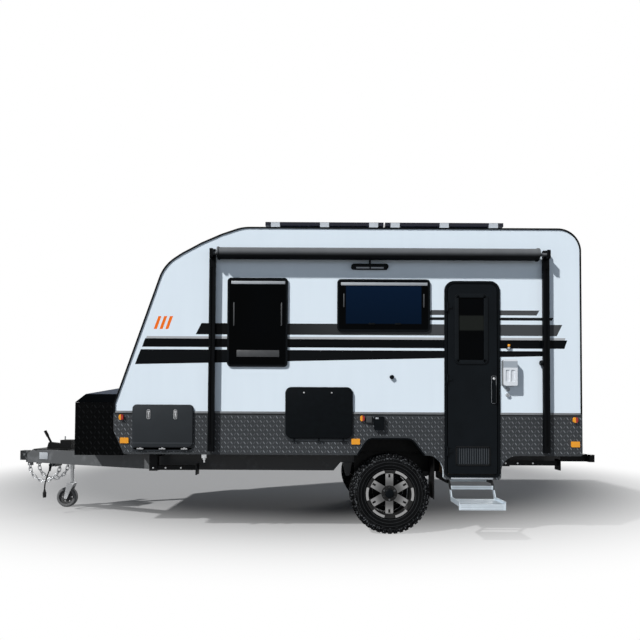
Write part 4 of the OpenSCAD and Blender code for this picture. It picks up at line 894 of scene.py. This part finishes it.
# Each row of tread blocks: from and to across the tyre, foot, top, length, and its turn as a share of the pitch.
TREAD = [(64, 106, 362, 386, 37, 0.0), (97, 112, 346, 376, 30, 0.0)]
TREAD += [(34, 59, 370, 387.5, 41, 0.35), (4, 29, 370, 388, 40, 0.7)]
BLOCKS = 42
PITCH = 2 * math.pi / BLOCKS
tyre_rubber, spot, shader = new_finish("tyre_rubber", Roughness=0.72, Specular_IOR_Level=0.02)
bloom = spot.noise(11, 6)
radius = round_hub(spot, van(HUB_X, 0, HUB_Z))[2]
# Painted highlights: thin pale rings on the sidewall, as raised ribs would catch the light, and pale flecks on the
# shoulders, partly scuffs and partly painted highlight.
rib_highlights = ((radius * 1000) % 31 < 3) & radius.between(0.244, 0.345)
scuffs_and_highlights = spot.noise(70, 3).soften(0.56, 0.66) & radius.soften(0.315, 0.35)
rubber_black = bloom.mix(grey(0.0016, 0.05), grey(0.007, 0.05))
feed(
    shader,
    Base_Color=(scuffs_and_highlights * 0.6 + rib_highlights * 0.22).mix(rubber_black, grey(0.16, 0.04)),
    Roughness=0.6 + bloom * 0.25,
    Normal=spot.noise(300).bump(0.15, 0.001),
)
machined, spot, shader = new_finish("machined_alloy", Roughness=0.3, Specular_IOR_Level=0.2)
wheel_x, wheel_z, radius = round_hub(spot, van(HUB_X, 0, HUB_Z))
sector = (wheel_x.math("ARCTAN2", wheel_z, wheel_x) * (3 / math.pi) + 6.5) % 1
between_spokes = (radius > 0.2) & (abs(sector - 0.5) > 0.27)
in_front = abs(spot.facing("Y")).soften(0.86, 0.95) & (spot.off_centre() > 0.982)
bright = in_front & (1.0 - between_spokes) & (radius > 0.078)
turning = ((radius * 700) % 1).soften(0.0, 1.0)
# Painted shade: the bright faces are painted darker towards the hub.
alloy = radius.soften(0.09, 0.2).mix(grey(0.1), turning.mix(grey(0.27), grey(0.36)))
feed(
    shader,
    Base_Color=bright.mix(grey(0.006), alloy),
    Metallic=bright * 0.9,
    Roughness=0.42 - bright * 0.1 + turning * 0.05,
    Normal=(turning * bright).bump(0.05, 0.0005),
)
wear(machined, "rim_near", "rim_off")
CAP = [(0, 92), (18, 92), (32, 90.5), (40, 88), (45, 84), (46, 78), (46, 70)]
SHIELD = [(152, -75), (152, -71), (188, -69), (197, -72), (197, -76), (188, -73), (152, -75)]
NUT = [(0, 88), (7, 88), (10, 85), (10.5, 70)]
for side_name, out in (("near", -1), ("off", 1)):
    hub = van(HUB_X, out * HUB_OUT, HUB_Z)
    pieces = [turned(f"tyre_{side_name}_tread", TYRE, hub, (0, 1, 0), 84)]
    for start, end, foot, top, length, turn in TREAD:
        for hand in (-1, 1):
            inner, outer = sorted((hand * start, hand * end))
            low, high = Vector((-length / 2, inner, foot)), Vector((length / 2, outer, top))
            row = block("tread_row", hub + low / 1000, hub + high / 1000, 3, 1)
            swung(row, PITCH * (turn + (hand > 0) / 2), "Y", hub)
            pieces.append(copied_round(row, BLOCKS, hub))
    tyre = fitted(joined(pieces), tyre_rubber, f"wheel_{side_name}")
    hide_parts(f"tyre_{side_name}")
    shield = turned(f"brake_shield_{side_name}", SHIELD, hub, (0, out, 0), 48)
    fitted(shield, chassis, "caravan")
    guard = sheet_on_wall(f"splash_guard_{side_name}", out, (2330, 3205), (585, 775), (799.2, 804), 30, 1)
    feet = [on_wall("guard_foot", out, (x, x + 40), (690, 730), (784, 800), 2) for x in (2400, 2960)]
    fitted(joined([guard] + feet), lever_black, "caravan")
    cap = turned(f"wheel_cap_{side_name}", CAP, hub, (0, out, 0))
    fitted(cap, black, f"wheel_{side_name}")
    nuts = turned(f"wheel_nuts_{side_name}", NUT, hub + Vector((0, 0, 0.058)), (0, out, 0), 6)
    fitted(copied_round(nuts, 6, hub), cast, f"wheel_{side_name}")

# Small ironwork: a blank plate riveted flat to the drawbar's slanting beam, and the bolts through the corner legs.
# The plate is pale and bare, the bolts are zinc plated, and a black moulded gland holds the trailer lead.
BEAM_SLANT = 21.8
plate = on_wall("drawbar_plate", -1, (-1236, -1104), (630, 708), (184, 189), 1)
swung(plate, math.radians(BEAM_SLANT), "Z", van(-1170, -185, 669))
fitted(plate, pale, "caravan")
GLAND = [(0, 70), (8, 72), (11, 68), (15, 14), (20, 8), (20, -6), (0, -6)]
gland = turned("lead_gland", GLAND, lead_route[0], (-0.15, 0, -0.989), 24)
fitted(gland, black, "caravan")
BOLT = [(0, 8), (6, 8), (9, 6), (9, -1)]
for end, x, z in (("front", 352, 628), ("rear", 3800, 690)):
    for side_name, out in (("near", -1), ("off", 1)):
        pivot = turned(f"leg_pivot_{end}_{side_name}", BOLT, van(x, out * 999, z), (0, out, 0), 6)
        fitted(pivot, zinc, "caravan")
        bolts = [
            turned(f"leg_bolts_{end}_{side_name}", BOLT, van(x + reach, out * 992, z), (0, out, 0), 6)
            for reach in (120, 270)
        ]
        fitted(joined(bolts), zinc, f"leg_{end[0]}{side_name[0]}")

# Entry step: pressed aluminium tread on side arms that slide in runners under the floor.
# The tread is ribbed along its length and rubbed bright where feet land; the arms are painted black.
step_metal, spot, shader = new_finish("step_aluminium", Roughness=0.38, Specular_IOR_Level=0.3)
ribs = (spot.along("Y") * 45).wave()
rubbed = spot.noise(14, 5)
behind = spot.behind_nose()
arms = ((behind < 3230) | (behind > 3630)) & (spot.along("Z") > 0.45)
inner = behind.between(3240, 3615)
grooves = (spot.along("Z") * 62 + spot.along("Y") * 38).wave().soften(0.72, 0.9) & inner
upper = inner & (spot.along("Z") > 0.4)
bare = rubbed.mix((0.46, 0.52, 0.57, 1), (0.64, 0.71, 0.76, 1))
grooved = (grooves * 0.6 + upper * 0.35).mix(bare, grey(0.1, 0.1))
feed(
    shader,
    Base_Color=arms.mix(grooved, grey(0.006)),
    Metallic=0.6 - arms * 0.6,
    Roughness=0.3 + rubbed * 0.25,
    Normal=ribs.bump(0.5, 0.003),
)
wear(step_metal, "step")

alone()
